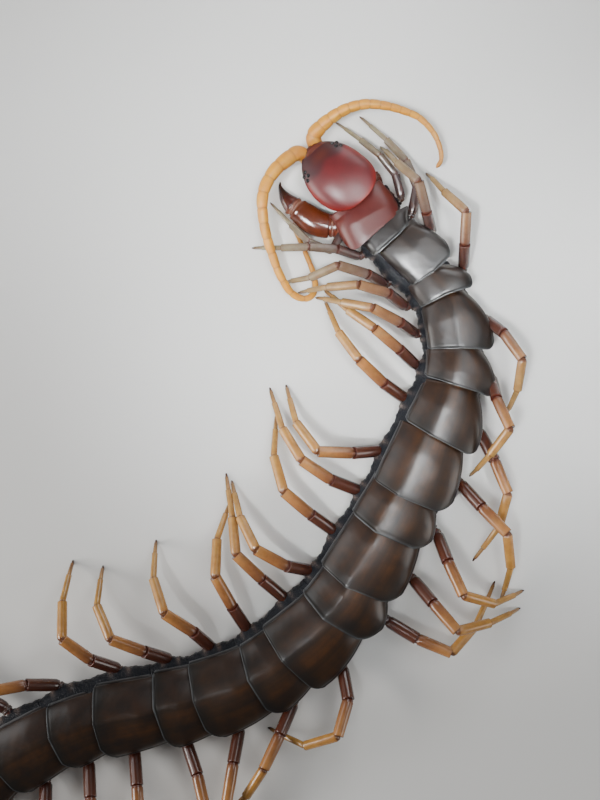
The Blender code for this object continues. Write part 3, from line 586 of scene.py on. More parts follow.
LEG_FINISH = cuticle("leg_cuticle", deep=(0.085, 0.026, 0.012), patch_scale=520.0, patch_share=0.34,
                     pore_scale=2400.0, pore_depth=0.015 * MM, gloss=0.18, dull=0.27, coat=0.4, glow=0.22)
CLAW_FINISH = cuticle("claw_horn", deep=(0.012, 0.006, 0.005), patch_scale=1500.0, patch_share=0.6,
                      pore_scale=4000.0, pore_depth=0.01 * MM, gloss=0.16, dull=0.27, coat=0.3)


def article_shells(roots, bearings, pitches, lengths, near, far, palette):
    """Shells of (articles, rows, sides) from the rows above: each is a round tube along its own
    straight axis, of radius near + (far - near) × share, and its colours run the same way."""
    level = bearing_vector(bearings)
    rise = np.radians(pitches)
    along = np.concatenate([level * np.cos(rise)[:, None], np.sin(rise)[:, None]], -1)
    sideways = np.stack([-level[:, 1], level[:, 0], np.zeros(len(level))], -1)
    upward = np.cross(along, sideways)
    share, offset, swell, joint = ARTICLE_ROWS.T
    mean = (near + far)[:, None] / 2
    distance = share * lengths[:, None] + offset * mean
    part = np.clip(distance / lengths[:, None], 0, 1)
    radius = (near[:, None] + (far - near)[:, None] * part) * swell
    angle = np.linspace(0, math.tau, LEG_SIDES, endpoint=False)
    ring = (np.cos(angle)[:, None] * sideways[:, None] + np.sin(angle)[:, None] * upward[:, None])
    centre = roots[:, None] + distance[..., None] * along[:, None]
    grid = centre[:, :, None] + radius[..., None, None] * ring[:, None]
    colour = blend(palette[:, 0][:, None], palette[:, 1][:, None], part)
    amount = np.broadcast_to(joint, part.shape) * 0.8
    return grid, blend(colour, JOINT_RED, amount)


def settled_pitches(start, raises, lengths):
    """Pitches of the articles: the raised ones as given, and the rest drooping in fixed shares by
    the angle that brings the last one's end to the claw's root, found by halving."""
    high = start + (lengths[:len(raises)] * np.sin(np.radians(raises))).sum()
    below = lengths[len(raises):]
    shares = SHIN_DROOP[-len(below):]
    low, most = 0.0, 58.0
    for _ in range(40):
        droop = (low + most) / 2
        drop = (below * np.sin(np.radians(droop * shares))).sum()
        low, most = (droop, most) if high - drop > CLAW_DROP else (low, droop)
    return np.concatenate([raises, -droop * shares])


def chain(start, bearings, pitches, lengths):
    """Roots of the articles and the end of the last one, each a step on from the one before."""
    rise = np.radians(pitches)
    level = bearing_vector(bearings) * (np.cos(rise) * lengths)[:, None]
    steps = np.concatenate([level, (np.sin(rise) * lengths)[:, None]], -1)
    return np.vstack([start, start + np.cumsum(steps, axis=0)])


def claw_shells(root, bearing, pitch, size):
    """A curved cone and two short spurs: each bends down from the tarsus on an arc, and its radius
    falls as the square root of the share that is left."""
    share = np.linspace(0, 1, 10)
    shells = []
    for length, spread, thick in ((1.5, 0, 0.30), (0.7, 26, 0.12), (0.7, -26, 0.12)):
        level = bearing_vector(bearing + spread)
        turn = np.radians(pitch - 4 - (62 + pitch) * share)
        step = length * size / 9
        forward = np.cumsum(np.cos(turn)) * step - step
        down = np.cumsum(np.sin(turn)) * step
        height = np.maximum(root[2] + down, 0.06)
        centre = np.stack([root[0] + forward * level[0], root[1] + forward * level[1], height], -1)
        sideways = np.array([-level[1], level[0], 0.0])
        normal = np.stack([-np.sin(turn) * level[0], -np.sin(turn) * level[1], np.cos(turn)], -1)
        angle = np.linspace(0, math.tau, 12, endpoint=False)[:, None]
        radius = (thick * size * np.sqrt(1 - share) + 0.03)[:, None, None]
        shells.append(centre[:, None] + radius * (np.cos(angle) * sideways + np.sin(angle) * normal[:, None]))
    grid = np.array(shells)
    grid[..., 2] = np.maximum(grid[..., 2], 0.01)
    return grid, blend((0.16, 0.06, 0.025), (0.012, 0.007, 0.006), share**0.6)


def leg(number, side):
    """Hip, articles and claw of one leg, with the joints where the solid leg has them."""
    prefemur, femur, tibia, foot, raised = (LEFT_POSE if side > 0 else RIGHT_POSE)[number - 1]
    size = float(np.interp(number, LEG_SIZE_AT, LEG_SIZES))
    t = number - 0.5
    place, along = course(t)
    out = np.array([along[1], -along[0]]) * side
    outward = math.degrees(math.atan2(out[1], out[0]))
    bearings = outward - side * np.array([0, prefemur / 2, prefemur, femur, tibia, foot, foot])
    lengths = np.concatenate([HIP_LENGTHS, ARTICLE_LENGTHS]) * size
    pitches = settled_pitches(HIP_HEIGHT, (raised, raised * 0.45), lengths[2:])
    pitches = np.concatenate([[0.0, 0.0], pitches])
    start = np.array([*(place + (half_width(t) * FLANK_SHARE + GAP) * out), HIP_HEIGHT])
    roots = chain(start, bearings, pitches, lengths)
    near = np.concatenate([[1.30, 1.12], ARTICLE_NEAR]) * size
    far = np.concatenate([[1.26, 1.10], ARTICLE_FAR]) * size
    grey = float(np.interp(number, (1, 2, 3, 4, 5, 7), (1.0, 1.0, 0.85, 0.5, 0.35, 0.0)))
    palette = WARM_LEG + (GREY_LEG - WARM_LEG) * grey
    grid, tint = article_shells(roots[:-1], bearings, pitches, lengths, near, far, palette)
    tint[2, :8] = blend(MEMBRANE, tint[2, 7], np.linspace(0.2, 1, 8))
    word = "left" if side > 0 else "right"
    node = f"leg_{word}_{number:02d}"
    loft(f"{node}_shell", grid, LEG_FINISH, [node], tint=tint)
    grid, tint = claw_shells(roots[-1], bearings[-1], pitches[-1], size)
    loft(f"{node}_claw", grid, CLAW_FINISH, [node], tint=tint)


for number in range(1, SEGMENTS):
    leg(number, 1)
    leg(number, -1)


# THE TRAILING LEGS
# The last pair is thicker, trails behind the body and doesn't walk. Its first article carries
# short spines, and it is rooted between two swollen lobes of the last segment.

TRAIL_ROOT = (2.5, 3.3)
TRAIL_LENGTHS = np.array((8.8, 7.8, 6.6, 4.8, 3.4))
TRAIL_NEAR = np.array((1.62, 1.45, 1.22, 0.92, 0.62))
TRAIL_FAR = np.array((1.72, 1.46, 1.16, 0.80, 0.46))
LEFT_TRAIL = (14, 18, 10, 12, 14)
RIGHT_TRAIL = (16, 10, 18, 14, 8)
TRAIL_RAISE = (8, 2)
TRAIL_COLOURS = np.array((
    ((0.030, 0.012, 0.010), (0.075, 0.020, 0.014)), ((0.110, 0.030, 0.016), (0.190, 0.060, 0.024)),
    ((0.260, 0.095, 0.030), (0.350, 0.140, 0.040)), ((0.390, 0.180, 0.060), (0.390, 0.200, 0.075)),
    ((0.330, 0.180, 0.080), (0.200, 0.100, 0.045)),
))
SPINE_ROWS = ((0.35, 60), (0.55, 115), (0.75, 60), (0.92, 100))  # share of the article, degrees round it
LOBE_COLOURS = ((0.045, 0.022, 0.018), (0.150, 0.050, 0.022))


def spines(root, along, sideways, length, radius, inward):
    """Short cones that stand square to the article at given shares of its length and angles round it."""
    upward = np.cross(along, sideways)
    rows = []
    for share, angle in SPINE_ROWS:
        turn = math.radians(angle)
        normal = math.cos(turn) * inward * sideways + math.sin(turn) * upward * np.sign(upward[2])
        step = np.linspace(0, 1, 6)[:, None]
        lean = normal + 0.6 * along
        centre = root + share * length * along + (radius * 0.9 + 0.75 * step) * lean / np.linalg.norm(lean)
        round_ = np.linspace(0, math.tau, 10, endpoint=False)[:, None]
        first = np.cross(lean, upward + 0.3 * sideways)
        first /= np.linalg.norm(first)
        second = np.cross(lean / np.linalg.norm(lean), first)
        width = (0.20 * (1 - step) + 0.03)[:, None]
        rows.append(centre[:, None] + width * (np.cos(round_) * first + np.sin(round_) * second))
    return np.array(rows)


def trailing_leg(side):
    """Articles, spines and claw of one trailing leg, with the joints where the solid has them."""
    angles = LEFT_TRAIL if side > 0 else RIGHT_TRAIL
    place, along = course(float(SEGMENTS))
    backward = math.degrees(math.atan2(along[1], along[0]))
    out = np.array([along[1], -along[0]]) * side
    sideways, height = TRAIL_ROOT
    start = np.array([*(place + (GAP / 2 + 0.8) * along + sideways * out), height])
    bearings = backward - side * np.array(angles, float)
    pitches = settled_pitches(height, TRAIL_RAISE, TRAIL_LENGTHS)
    roots = chain(start, bearings, pitches, TRAIL_LENGTHS)
    grid, tint = article_shells(roots[:-1], bearings, pitches, TRAIL_LENGTHS, TRAIL_NEAR, TRAIL_FAR,
                                TRAIL_COLOURS)
    word = "left" if side > 0 else "right"
    node = f"leg_{word}_{SEGMENTS:02d}"
    loft(f"{node}_shell", grid, LEG_FINISH, [node], tint=tint)
    axis = (roots[1] - roots[0]) / TRAIL_LENGTHS[0]
    level = bearing_vector(bearings[0])
    across = np.array([-level[1], level[0], 0.0])
    thorns = spines(roots[0], axis, across, TRAIL_LENGTHS[0], TRAIL_FAR[0], side)
    loft(f"{node}_spines", thorns, CLAW_FINISH, [node],
         tint=(0.05, 0.018, 0.010))
    grid, tint = claw_shells(roots[-1], bearings[-1], pitches[-1], 1.25)
    loft(f"{node}_claw", grid, CLAW_FINISH, [node], tint=tint)


def rear_lobe(side):
    """A swollen lobe beside the last segment: rings along the body whose radius is a half circle's,
    drawn out at the rear to a blunt cone."""
    share = np.linspace(0, 1, 22)[:, None]
    angle = np.linspace(0, math.tau, 28, endpoint=False)[None]
    t = SEGMENTS - 0.95 + 1.0 * share
    radius = np.where(share < 0.72, np.sqrt(np.maximum(1 - ((share - 0.45) / 0.46) ** 2, 0.0)), 0.0)
    cone = 0.80 * np.clip(1 - (share - 0.45) / 0.56, 0, 1) ** 0.75
    radius = np.maximum(np.where(share < 0.45, radius, 0), np.where(share >= 0.45, cone / 0.80, 0))
    radius = np.maximum(radius, 0.03)
    middle = side * half_width(t) * (0.60 + 0.06 * share)
    sideways = middle + 1.75 * radius * np.cos(angle)
    height = 2.4 + 1.75 * radius * np.sin(angle) + 0.3 * share
    word = "left" if side > 0 else "right"
    return loft(f"rear_lobe_{word}", on_body(t, sideways, height), BELLY_FINISH,
                [trunk_node(SEGMENTS)], tint=blend(*LOBE_COLOURS, share[:, 0]))


for side in (1, -1):
    trailing_leg(side)
    rear_lobe(side)


# THE JAW PLATE AND THE VENOM CLAWS
# A broad plate under the head, with two black-toothed lobes at its front edge. A venom claw is
# hinged to each side of it: a stout glossy limb that ends, past two narrow rings, in a black fang.

HEAD_BEARING = 137.0
HEAD_ORIGIN = np.array(NECK)
JAW_TOP = 3.6
JAW_AT = (-3.4, -1.0, 1.4, 2.3, 5.0, 8.6, 9.1)
JAW_WIDE = (4.4, 4.9, 4.9, 2.9, 2.5, 2.1, 1.5)
JAW_COLOURS = ((0.150, 0.050, 0.020), (0.230, 0.060, 0.018))
CLAW_HEIGHT = 2.0
CLAW_FLATTENING = 0.62
LEFT_CLAW = np.array(((1.6, 8.3, 2.45), (2.6, 9.0, 2.6), (4.6, 9.9, 2.76), (7.3, 10.3, 2.6),
                      (9.2, 10.4, 2.2), (10.2, 10.5, 2.1), (12.3, 10.3, 1.35), (14.4, 9.5, 0.6),
                      (15.2, 8.7, 0.2)))
RIGHT_CLAW = np.array(((2.9, -4.75, 1.6), (4.2, -4.6, 1.85), (6.6, -4.5, 1.85), (8.6, -4.2, 1.6),
                       (9.5, -3.9, 1.45), (10.3, -3.5, 1.35), (11.8, -2.5, 0.9), (12.9, -1.2, 0.42),
                       (13.2, -0.6, 0.2)))
CLAW_DROOP = 0.12
CLAW_HIPS = {"left": ((-1.8, 4.8, 1.9), (0.0, 6.7, 2.45), (2.1, 8.6, 2.40)),
             "right": ((0.0, -3.6, 1.5), (1.6, -4.5, 1.6), (2.7, -4.8, 1.5))}
LIMB_COLOURS = ((0.095, 0.017, 0.006), (0.140, 0.032, 0.007))
HIP_COLOURS = ((0.085, 0.014, 0.008), (0.120, 0.022, 0.009))
CREASE_COLOUR = (0.30, 0.14, 0.09)
FANG_COLOURS = ((0.080, 0.014, 0.008), (0.006, 0.005, 0.006))
JAW_FINISH = cuticle("jaw_cuticle", deep=(0.050, 0.009, 0.005), patch_scale=330.0, patch_share=0.65,
                     pore_scale=2000.0, pore_depth=0.02 * MM, gloss=0.14, dull=0.27, coat=0.4, glow=0.10)


def in_head(x, y, z):
    """Points given ahead of the head's rear edge, to its left and up, in the whole animal's frame."""
    x, y, z = np.broadcast_arrays(x, y, z)
    ahead = bearing_vector(HEAD_BEARING)
    left = np.array([-ahead[1], ahead[0]])
    level = HEAD_ORIGIN + x[..., None] * ahead + y[..., None] * left
    return np.concatenate([level, z[..., None]], -1)


def smooth_row(knots, count):
    """Evenly spaced places on the Catmull-Rom curve through the knots: each span is the cubic whose
    slope at a knot is half the step between that knot's neighbours."""
    knots = np.asarray(knots, float)
    ends = np.vstack([2 * knots[0] - knots[1], knots, 2 * knots[-1] - knots[-2]])
    f = np.linspace(0, 1, 24, endpoint=False)[None, :, None]
    a, b, c, d = (ends[i:len(ends) - 3 + i][:, None] for i in range(4))
    row = 0.5 * (2 * b + (c - a) * f + (2 * a - 5 * b + 4 * c - d) * f**2 + (3 * b - a - 3 * c + d) * f**3)
    row = np.vstack([row.reshape(-1, knots.shape[1]), knots[-1]])
    far = np.concatenate([[0], np.cumsum(np.linalg.norm(np.diff(row[:, :2], axis=0), axis=1))])
    wanted = np.linspace(0, far[-1], count)
    return np.stack([np.interp(wanted, far, column) for column in row.T], -1)


def tube_rings(centres, radius, sides, flattening=1.0):
    """Rings square to a path of centres: cos × sideways + sin × flattening × upward, times the radius."""
    along = np.gradient(centres, axis=0)
    along /= np.linalg.norm(along, axis=1, keepdims=True)
    sideways = np.cross([0.0, 0.0, 1.0], along)
    sideways /= np.linalg.norm(sideways, axis=1, keepdims=True)
    upward = np.cross(along, sideways)
    angle = np.linspace(0, math.tau, sides, endpoint=False)[:, None]
    ring = np.cos(angle) * sideways[:, None] + flattening * np.sin(angle) * upward[:, None]
    return centres[:, None] + np.reshape(radius, (-1, 1, 1)) * ring


def venom_claw(word, knots):
    """Limb and fang of one claw, on the smooth curve through the solid's own stations. The limb's
    radius dips by bell curves at the creases between its articles, and its ends are rounded."""
    row = smooth_row(knots, 120)
    share = np.linspace(0, 1, 120)
    splits = [np.argmin(np.linalg.norm(row[:, :2] - knots[i, :2], axis=1)) / 119 for i in (4, 5)]
    droop = CLAW_DROOP * np.clip((share - splits[0]) / (1 - splits[0]), 0, 1) * 4
    centres = in_head(row[:, 0], row[:, 1], CLAW_HEIGHT - droop)
    creases = 0.16 * bell(share - splits[0], 0.012) + 0.14 * bell(share - (splits[0] + splits[1]) / 2, 0.010)
    swell = 0.05 * bell(share - splits[0] + 0.035, 0.02)
    radius = row[:, 2] * (1 - creases + swell)
    limb = share <= splits[1] + 0.02
    start = np.sqrt(np.clip(share / 0.03, 0.02, 1))
    close = np.sqrt(np.clip((splits[1] + 0.02 - share) / 0.02, 0.02, 1))
    rings = tube_rings(centres[limb], (radius * start * close)[limb], 40, CLAW_FLATTENING)
    shade = np.clip(creases[limb] / 0.14, 0, 1)
    tint = blend(blend(*LIMB_COLOURS, share[limb]), CREASE_COLOUR, 0.5 * shade)
    node = f"venom_claw_{word}"
    loft(f"{node}_limb", rings, JAW_FINISH, [node], tint=tint)
    fang = share >= splits[1] - 0.02
    grown = (share[fang] - splits[1] + 0.02) / (1.02 - splits[1])
    narrow = row[fang, 2] * np.interp(grown, (0, 0.04, 0.12, 0.5, 1), (0.5, 0.86, 0.92, 0.95, 0.6))
    rings = tube_rings(centres[fang], narrow, 32, 0.8)
    loft(f"{node}_fang", rings, JAW_FINISH, [node],
         tint=blend(*FANG_COLOURS, np.clip(grown * 1.6, 0, 1)))


def claw_hip(word):
    """The swollen side piece between the body and the claw's limb. Two creases dip into it by bell
    curves, and the skin in them is paler."""
    row = smooth_row(CLAW_HIPS[word], 60)
    share = np.linspace(0, 1, 60)
    creases = bell(share - 0.82, 0.025) + 0.8 * bell(share - 0.62, 0.025)
    close = np.sqrt(np.clip(np.minimum(share, 1 - share) / 0.06, 0.02, 1))
    centres = in_head(row[:, 0], row[:, 1], CLAW_HEIGHT + 0.5 * (1 - share))
    rings = tube_rings(centres, row[:, 2] * (1 - 0.06 * creases) * close, 48, 0.72)
    loft(f"claw_hip_{word}", rings, JAW_FINISH, ["trunk_01"],
         tint=blend(blend(*HIP_COLOURS, share), CREASE_COLOUR, 0.55 * np.clip(creases, 0, 1)))


def jaw_plate():
    """Rings across the plate along the head's line: the box-like oval |cos|^0.5, |sin|^0.6, with a
    groove along the middle of its underside."""
    x = np.linspace(JAW_AT[0], JAW_AT[-1], 60)[:, None]
    angle = np.linspace(0, math.tau, 72, endpoint=False)[None]
    wide = np.interp(x, JAW_AT, JAW_WIDE)
    smooth = np.convolve(np.pad(wide[:, 0], 3, mode="edge"), np.ones(7) / 7, mode="valid")[:, None]
    across, up = np.cos(angle), np.sin(angle)
    y = smooth * np.sign(across) * np.abs(across) ** 0.5
    middle, half = (JAW_TOP + 0.35) / 2, (JAW_TOP - 0.35) / 2
    z = middle + half * np.sign(up) * np.abs(up) ** 0.6
    z = z + 0.25 * bell(y, 0.22) * (up < 0)
    share = (x[:, 0] - JAW_AT[0]) / (JAW_AT[-1] - JAW_AT[0])
    loft("jaw_plate", in_head(x, y, z), JAW_FINISH, ["trunk_01"],
         tint=blend(*JAW_COLOURS, share))
    step = np.linspace(0, 1, 7)
    teeth = []
    for side in (1, -1):
        for i in range(4):
            y = side * (0.45 + 0.42 * i)
            root = in_head(8.7 - 0.10 * i, y, 2.3)
            tip = in_head(10.15 - 0.14 * i, y * 0.94, 2.25)
            centres = root + (tip - root) * step[:, None]
            teeth.append(tube_rings(centres, 0.30 * np.sqrt(1 - 0.96 * step), 12))
    loft("jaw_teeth", np.array(teeth), CLAW_FINISH, ["trunk_01"],
         tint=(0.012, 0.008, 0.007))
    for side, word in ((1, "left"), (-1, "right")):
        row = smooth_row(((8.2, 1.15, 0.95), (9.0, 1.12, 0.85), (9.5, 1.1, 0.5)), 16)
        ends = np.sqrt(np.clip(np.linspace(1, 0, 16) / 0.2, 0.03, 1))
        rings = tube_rings(in_head(row[:, 0], side * row[:, 1], 2.3), row[:, 2] * ends, 24, 0.8)
        loft(f"tooth_lobe_{word}", rings, JAW_FINISH, ["trunk_01"],
             tint=JAW_COLOURS[1])


venom_claw("left", LEFT_CLAW)
venom_claw("right", RIGHT_CLAW)
claw_hip("left")
claw_hip("right")
jaw_plate()


# THE HEAD
# A domed shield of dark red cuticle that overhangs the first back plate, darkest in front. Below
# it lie a low capsule, the lip and a pair of palps.

SHIELD_MIDDLE = 6.3
SHIELD_HALF_WIDTH = 6.4
SHIELD_FRONT = 9.25
SHIELD_LEAN = 0.42
SHIELD_THICKNESS = 0.5
SHIELD_RED = (0.110, 0.0105, 0.012)
SHIELD_RIM_RED = (0.210, 0.010, 0.006)
SHIELD_DARK = (0.020, 0.008, 0.010)
SHIELD_PATCH = (0.085, 0.020, 0.011)
CAPSULE_COLOUR = (0.105, 0.024, 0.014)
MOUTH_COLOUR = (0.240, 0.090, 0.032)


def shield_outline(angle):
    """The shield seen from above: |cos|^0.91 × front length, |sin|^1.24 × half width before the widest
    place, and |cos|^0.77 × rear length, |sin|^0.84 × half width behind it, with a small front notch."""
    ahead, aside = np.cos(angle), np.sin(angle)
    front = ahead > 0
    x = SHIELD_MIDDLE + np.where(front, SHIELD_FRONT * np.abs(ahead) ** 0.91,
                                 -SHIELD_MIDDLE * np.abs(ahead) ** 0.77)
    y = SHIELD_HALF_WIDTH * np.sign(aside) * np.abs(aside) ** np.where(front, 1.24, 0.84)
    return x - 0.12 * front * bell(y, 0.5), y


def shield_place(r, angle):
    """Places on the shield: r of the way from its middle to its outline, at the height
    edge + (crown - edge) × (1 - r^2.2)^0.55, with the crown highest near the rear."""
    x_out, y_out = shield_outline(angle)
    x = SHIELD_MIDDLE + r * (x_out - SHIELD_MIDDLE)
    y = r * y_out + SHIELD_LEAN * np.clip(x / 7, 0, 1)
    crown = 8.1 - 0.017 * (x - 4.0) ** 2
    edge = 5.05 + 2.55 * np.exp(-x_out / 2.6)
    arch = np.maximum(1 - r**2.2, 0) ** 0.55
    return x, y, edge + (crown - edge) * arch


def head_shield():
    """The dome, carried round its edge and back to the middle on the underside, half a millimetre lower."""
    angle = np.linspace(0, math.tau, 128, endpoint=False)[None]
    r = np.sin(np.linspace(0.02, 1, 44) * math.pi / 2)[:, None]
    x, y, z = shield_place(r, angle)
    inner = np.array((0.985, 0.95, 0.88, 0.75, 0.5, 0.2, 0.02))[:, None]
    xu, yu, zu = shield_place(inner, angle)
    under_z = zu - SHIELD_THICKNESS * np.clip((1 - inner) / 0.12, 0.3, 1.0)
    grid = np.concatenate([in_head(x, y, z), in_head(xu, yu, under_z)])
    dark = np.clip((x - 9.6 - 0.5 * np.cos(y)) / 1.6, 0, 1)
    dark = dark * dark * (3 - 2 * dark)
    tint = blend(SHIELD_RED, SHIELD_RIM_RED, bell(1 - r, 0.10) * (1 - dark))
    tint = blend(tint, SHIELD_DARK, 0.92 * dark)
    tint = blend(tint, SHIELD_PATCH, 0.8 * bell(x - 12.4, 1.1) * bell(y, 2.2))
    below = np.broadcast_to(SHIELD_DARK, (len(inner), 128, 3))
    loft("head_shield", grid, SHIELD_FINISH, ["head"], tint=np.concatenate([tint, below]))


def head_capsule():
    """Rings across the head under the shield: the oval |cos|^0.7, |sin|^0.7, as wide as the shield less
    an eighth."""
    x = np.linspace(3.0, 15.0, 40)[:, None]
    angle = np.linspace(0, math.tau, 64, endpoint=False)[None]
    front = np.clip((x - SHIELD_MIDDLE) / SHIELD_FRONT, 0, 1)
    wide = 0.87 * SHIELD_HALF_WIDTH * (1 - front**2.2) ** 0.62 * np.clip((x - 1.5) / 3.5, 0, 1) ** 0.4
    across, up = np.cos(angle), np.sin(angle)
    y = np.maximum(wide, 0.9) * np.sign(across) * np.abs(across) ** 0.7
    z = 4.85 + np.where(up > 0, 0.9, 0.85) * np.sign(up) * np.abs(up) ** 0.7
    loft("head_capsule", in_head(x, y, z), JAW_FINISH, ["head"],
         tint=CAPSULE_COLOUR)


def mouth_parts():
    """The lip, a low oval under the front edge, and two palps that curve in below it."""
    share = np.linspace(0, 1, 20)
    round_off = np.sqrt(np.maximum(1 - (2 * share - 1) ** 2, 0.002))
    rings = tube_rings(in_head(13.2 + 0 * share, -1.6 + 3.2 * share, 4.25), 0.75 * round_off, 20, 0.6)
    loft("upper_lip", rings, JAW_FINISH, ["head"], tint=MOUTH_COLOUR)
    palps = []
    for side in (1, -1):
        row = smooth_row(((9.8, 2.9, 0.62), (12.0, 2.5, 0.60), (13.5, 1.5, 0.52), (13.9, 0.7, 0.34)), 34)
        close = np.sqrt(np.maximum(1 - (2 * np.linspace(0, 1, 34) - 1) ** 8, 0.01))
        crease = 1 - 0.14 * bell(row[:, 0] - 12.2, 0.12) - 0.14 * bell(row[:, 0] - 13.3, 0.10)
        palps.append(tube_rings(in_head(row[:, 0], side * row[:, 1], 3.85), row[:, 2] * close * crease, 18))
    loft("mouth_palps", np.array(palps), JAW_FINISH, ["head"],
         tint=MOUTH_COLOUR)


head_shield()
head_capsule()
mouth_parts()


# THE EYES
# Four simple eyes at each side of the head's front: black glassy beads in a low dark field.

EYE_RADIUS = 0.42
EYE_SPOTS = ((0.925, 46.5), (0.855, 51.5), (0.965, 53.5), (0.905, 59.5))  # share out, degrees from ahead
EYE_FINISH = cuticle("eye_bead", deep=(0.004, 0.004, 0.006), patch_scale=900.0, patch_share=0.5,
                     pore_scale=3000.0, pore_depth=0.0, gloss=0.06, dull=0.12)


def eye_beads(side):
    """Four spheres, sunk by a third of their radius where they sit on the shield."""
    beads = []
    lift, round_ = np.meshgrid(np.linspace(-0.49, 0.49, 18) * math.pi,
                               np.linspace(0, math.tau, 28, endpoint=False), indexing="ij")
    for r, angle in EYE_SPOTS:
        x, y, z = shield_place(np.array(r), np.radians(angle) * side)
        centre = in_head(x, y, z - 0.10)
        ball = np.stack([np.cos(lift) * np.cos(round_), np.cos(lift) * np.sin(round_), np.sin(lift)], -1)
        beads.append(centre + EYE_RADIUS * ball)
    word = "left" if side > 0 else "right"
    loft(f"eye_beads_{word}", np.array(beads), EYE_FINISH, [f"eyes_{word}"],
         tint=(0.004, 0.004, 0.005))


eye_beads(1)
eye_beads(-1)


# THE FEELERS
# Two jointed feelers of 18 amber articles, the first ones thick and glossy and the rest velvety.
# They grow from under the front edge of the head.

FEELER_ARTICLES = 18
FEELER_AT = (0, 1, 2, 3, 5, 8, 12, 18)
FEELER_RADII = (1.50, 1.58, 1.44, 1.28, 1.10, 0.92, 0.68, 0.42)
LEFT_FEELER = ((14.2, 1.7, 3.3), (15.5, 2.0, 4.25), (16.3, 2.6, 4.9), (16.6, 3.6, 5.3),
               (16.9, 5.9, 5.9), (17.0, 8.4, 6.3), (16.3, 11.6, 6.6), (15.0, 14.0, 6.6),
               (13.2, 15.9, 6.4), (10.9, 17.8, 6.0), (8.5, 19.4, 5.4), (5.8, 20.9, 4.7),
               (3.3, 22.2, 4.1), (0.8, 23.1, 3.4), (-1.4, 23.6, 2.8), (-3.5, 23.3, 2.2),
               (-4.9, 22.2, 1.9), (-5.1, 20.7, 1.6), (-4.3, 19.2, 1.45), (-2.1, 17.5, 1.25),
               (1.9, 15.6, 1.0), (5.2, 14.2, 0.85), (7.4, 13.3, 0.75))
RIGHT_FEELER = ((14.2, -1.3, 3.3), (15.5, -1.6, 4.25), (16.2, -2.4, 4.9), (16.4, -3.6, 5.3),
                (16.0, -6.8, 6.0), (14.8, -10.4, 6.8), (12.6, -13.6, 7.2), (9.3, -16.2, 7.0),
                (5.9, -18.1, 6.2), (2.8, -19.2, 5.6), (-1.0, -19.0, 5.0), (-4.0, -17.7, 4.7),
                (-5.7, -16.2, 4.4), (-6.1, -14.4, 4.2))
FEELER_ROWS = 12
FEELER_COLOURS = ((0.460, 0.180, 0.020), (0.620, 0.275, 0.024), (0.400, 0.170, 0.018))
FEELER_RING = (0.320, 0.115, 0.014)
FEELER_FINISH = cuticle("feeler_cuticle", deep=(0.370, 0.155, 0.018), patch_scale=600.0, patch_share=0.4,
                        pore_scale=5200.0, pore_depth=0.035 * MM, gloss=0.28, dull=0.46, glow=0.30)


def feeler(word, knots):
    """A tube on the smooth curve through the given places. Its radius bulges by sin(πf) in each
    article and dips by a bell curve at each joint."""
    row = smooth_row(knots, 900)
    steps = FEELER_ARTICLES * FEELER_ROWS
    number = np.arange(steps + 1) / FEELER_ROWS
    share = (number / FEELER_ARTICLES) ** 0.94
    centres = np.stack([np.interp(share, np.linspace(0, 1, 900), column) for column in row.T], -1)
    centres = in_head(centres[:, 0], centres[:, 1], centres[:, 2])
    to_joint = np.abs(number - np.round(number))
    dip = 0.09 * bell(to_joint, 0.07) * (number > 0.5)
    radius = np.interp(number, FEELER_AT, FEELER_RADII) * (0.97 + 0.04 * np.sin(math.pi * (number % 1)) - dip)
    radius = radius * np.sqrt(np.clip((FEELER_ARTICLES - number) / 0.35, 0.02, 1))
    tint = blend(FEELER_COLOURS[0], FEELER_COLOURS[1], np.clip(number / 2.5, 0, 1))
    tint = blend(tint, FEELER_COLOURS[2], np.clip((number - 11) / 7, 0, 1))
    tint = blend(tint, FEELER_RING, 0.75 * bell(to_joint, 0.06))
    node = f"antenna_{word}"
    loft(f"feeler_{word}", tube_rings(centres, radius, 24), FEELER_FINISH, [node], tint=tint)


feeler("left", LEFT_FEELER)
feeler("right", RIGHT_FEELER)


# THE FLOOR, THE LIGHT AND THE CAMERA
# A plain pale floor; seven soft lights, four broad ones low round the animal, one broad one high on the
# right and two narrow beams from above; and a camera that looks straight down on the front half of the animal.

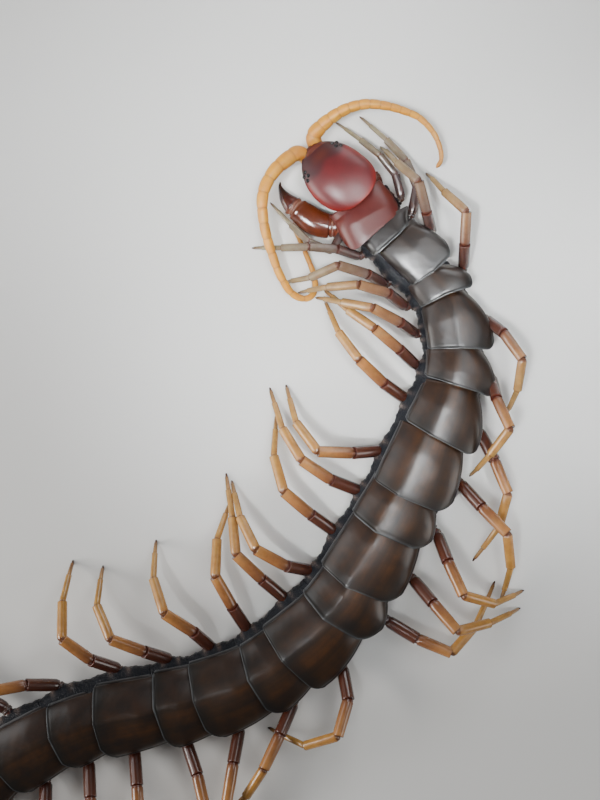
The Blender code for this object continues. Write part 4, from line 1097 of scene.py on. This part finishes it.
CAMERA_PLACE = (31.85, 34.55, 265.0)
CAMERA_LENS = 58.5
FLOOR_COLOUR = (0.70, 0.69, 0.67)
LIT_PLACE = (35.0, 30.0)
FRONT_PLACE = (49.0, 66.0)
COOL, WARM = (0.95, 0.98, 1.0), (1.0, 0.98, 0.95)
LIGHTS = (  # name, place in millimetres, width and length, watts, colour, lit place, spread in degrees
    ("left_light", (-341.0, -70.0, 160.0), (0.30, 0.16), 2.0, WARM, LIT_PLACE, 180),
    ("window_light", (-263.0, 160.0, 235.0), (0.20, 0.20), 0.25, COOL, LIT_PLACE, 180),
    ("far_light", (135.0, 406.0, 160.0), (0.26, 0.16), 0.6, COOL, LIT_PLACE, 180),
    ("near_light", (411.0, -70.0, 160.0), (0.20, 0.16), 0.4, WARM, LIT_PLACE, 180),
    ("right_light", (250.0, 180.0, 400.0), (0.20, 0.24), 0.5, COOL, LIT_PLACE, 180),
    ("front_light", (-80.0, -17.0, 400.0), (0.13, 0.11), 0.056, COOL, (44.0, 77.0), 14),
    ("ridge_light", (134.0, 30.0, 400.0), (0.08, 0.11), 0.018, COOL, (63.0, 48.0), 10),
)


def floor():
    made = bpy.data.meshes.new("floor")
    side = 3.0
    made.from_pydata([(-side, -side, 0), (side, -side, 0), (side, side, 0), (-side, side, 0)], [], [(0, 1, 2, 3)])
    finish = bpy.data.materials.new("floor")
    finish.use_nodes = True
    surface = finish.node_tree.nodes["Principled BSDF"]
    surface.inputs["Base Color"].default_value = (*FLOOR_COLOUR, 1.0)
    surface.inputs["Roughness"].default_value = 0.9
    made.materials.append(finish)
    thing = bpy.data.objects.new("floor", made)
    bpy.context.scene.collection.objects.link(thing)


def soft_light(name, place, sides, watts, colour, lit_place, spread):
    """An oblong soft light that faces a place on the floor. Its spread is how wide its beam is."""
    lamp = bpy.data.lights.new(name, "AREA")
    lamp.shape = "RECTANGLE"
    lamp.size, lamp.size_y = sides
    lamp.spread = math.radians(spread)
    lamp.energy = watts
    lamp.color = colour
    thing = bpy.data.objects.new(name, lamp)
    place = np.array(place) * MM
    aim = np.array([*lit_place, 0.0]) * MM - place
    flat = math.hypot(aim[0], aim[1])
    thing.location = place
    thing.rotation_euler = (math.atan2(flat, -aim[2]), 0.0, math.atan2(aim[1], aim[0]) - math.pi / 2)
    bpy.context.scene.collection.objects.link(thing)


floor()
for light in LIGHTS:
    soft_light(*light)
world = bpy.data.worlds.new("studio")
world.use_nodes = True
world.node_tree.nodes["Background"].inputs["Color"].default_value = (0.93, 0.96, 1.0, 1.0)
world.node_tree.nodes["Background"].inputs["Strength"].default_value = 0.09
bpy.context.scene.world = world
eye = bpy.data.cameras.new("camera")
eye.lens = CAMERA_LENS
eye.clip_start = 0.01
camera = bpy.data.objects.new("camera", eye)
camera.location = np.array(CAMERA_PLACE) * MM
bpy.context.scene.collection.objects.link(camera)
bpy.context.scene.camera = camera
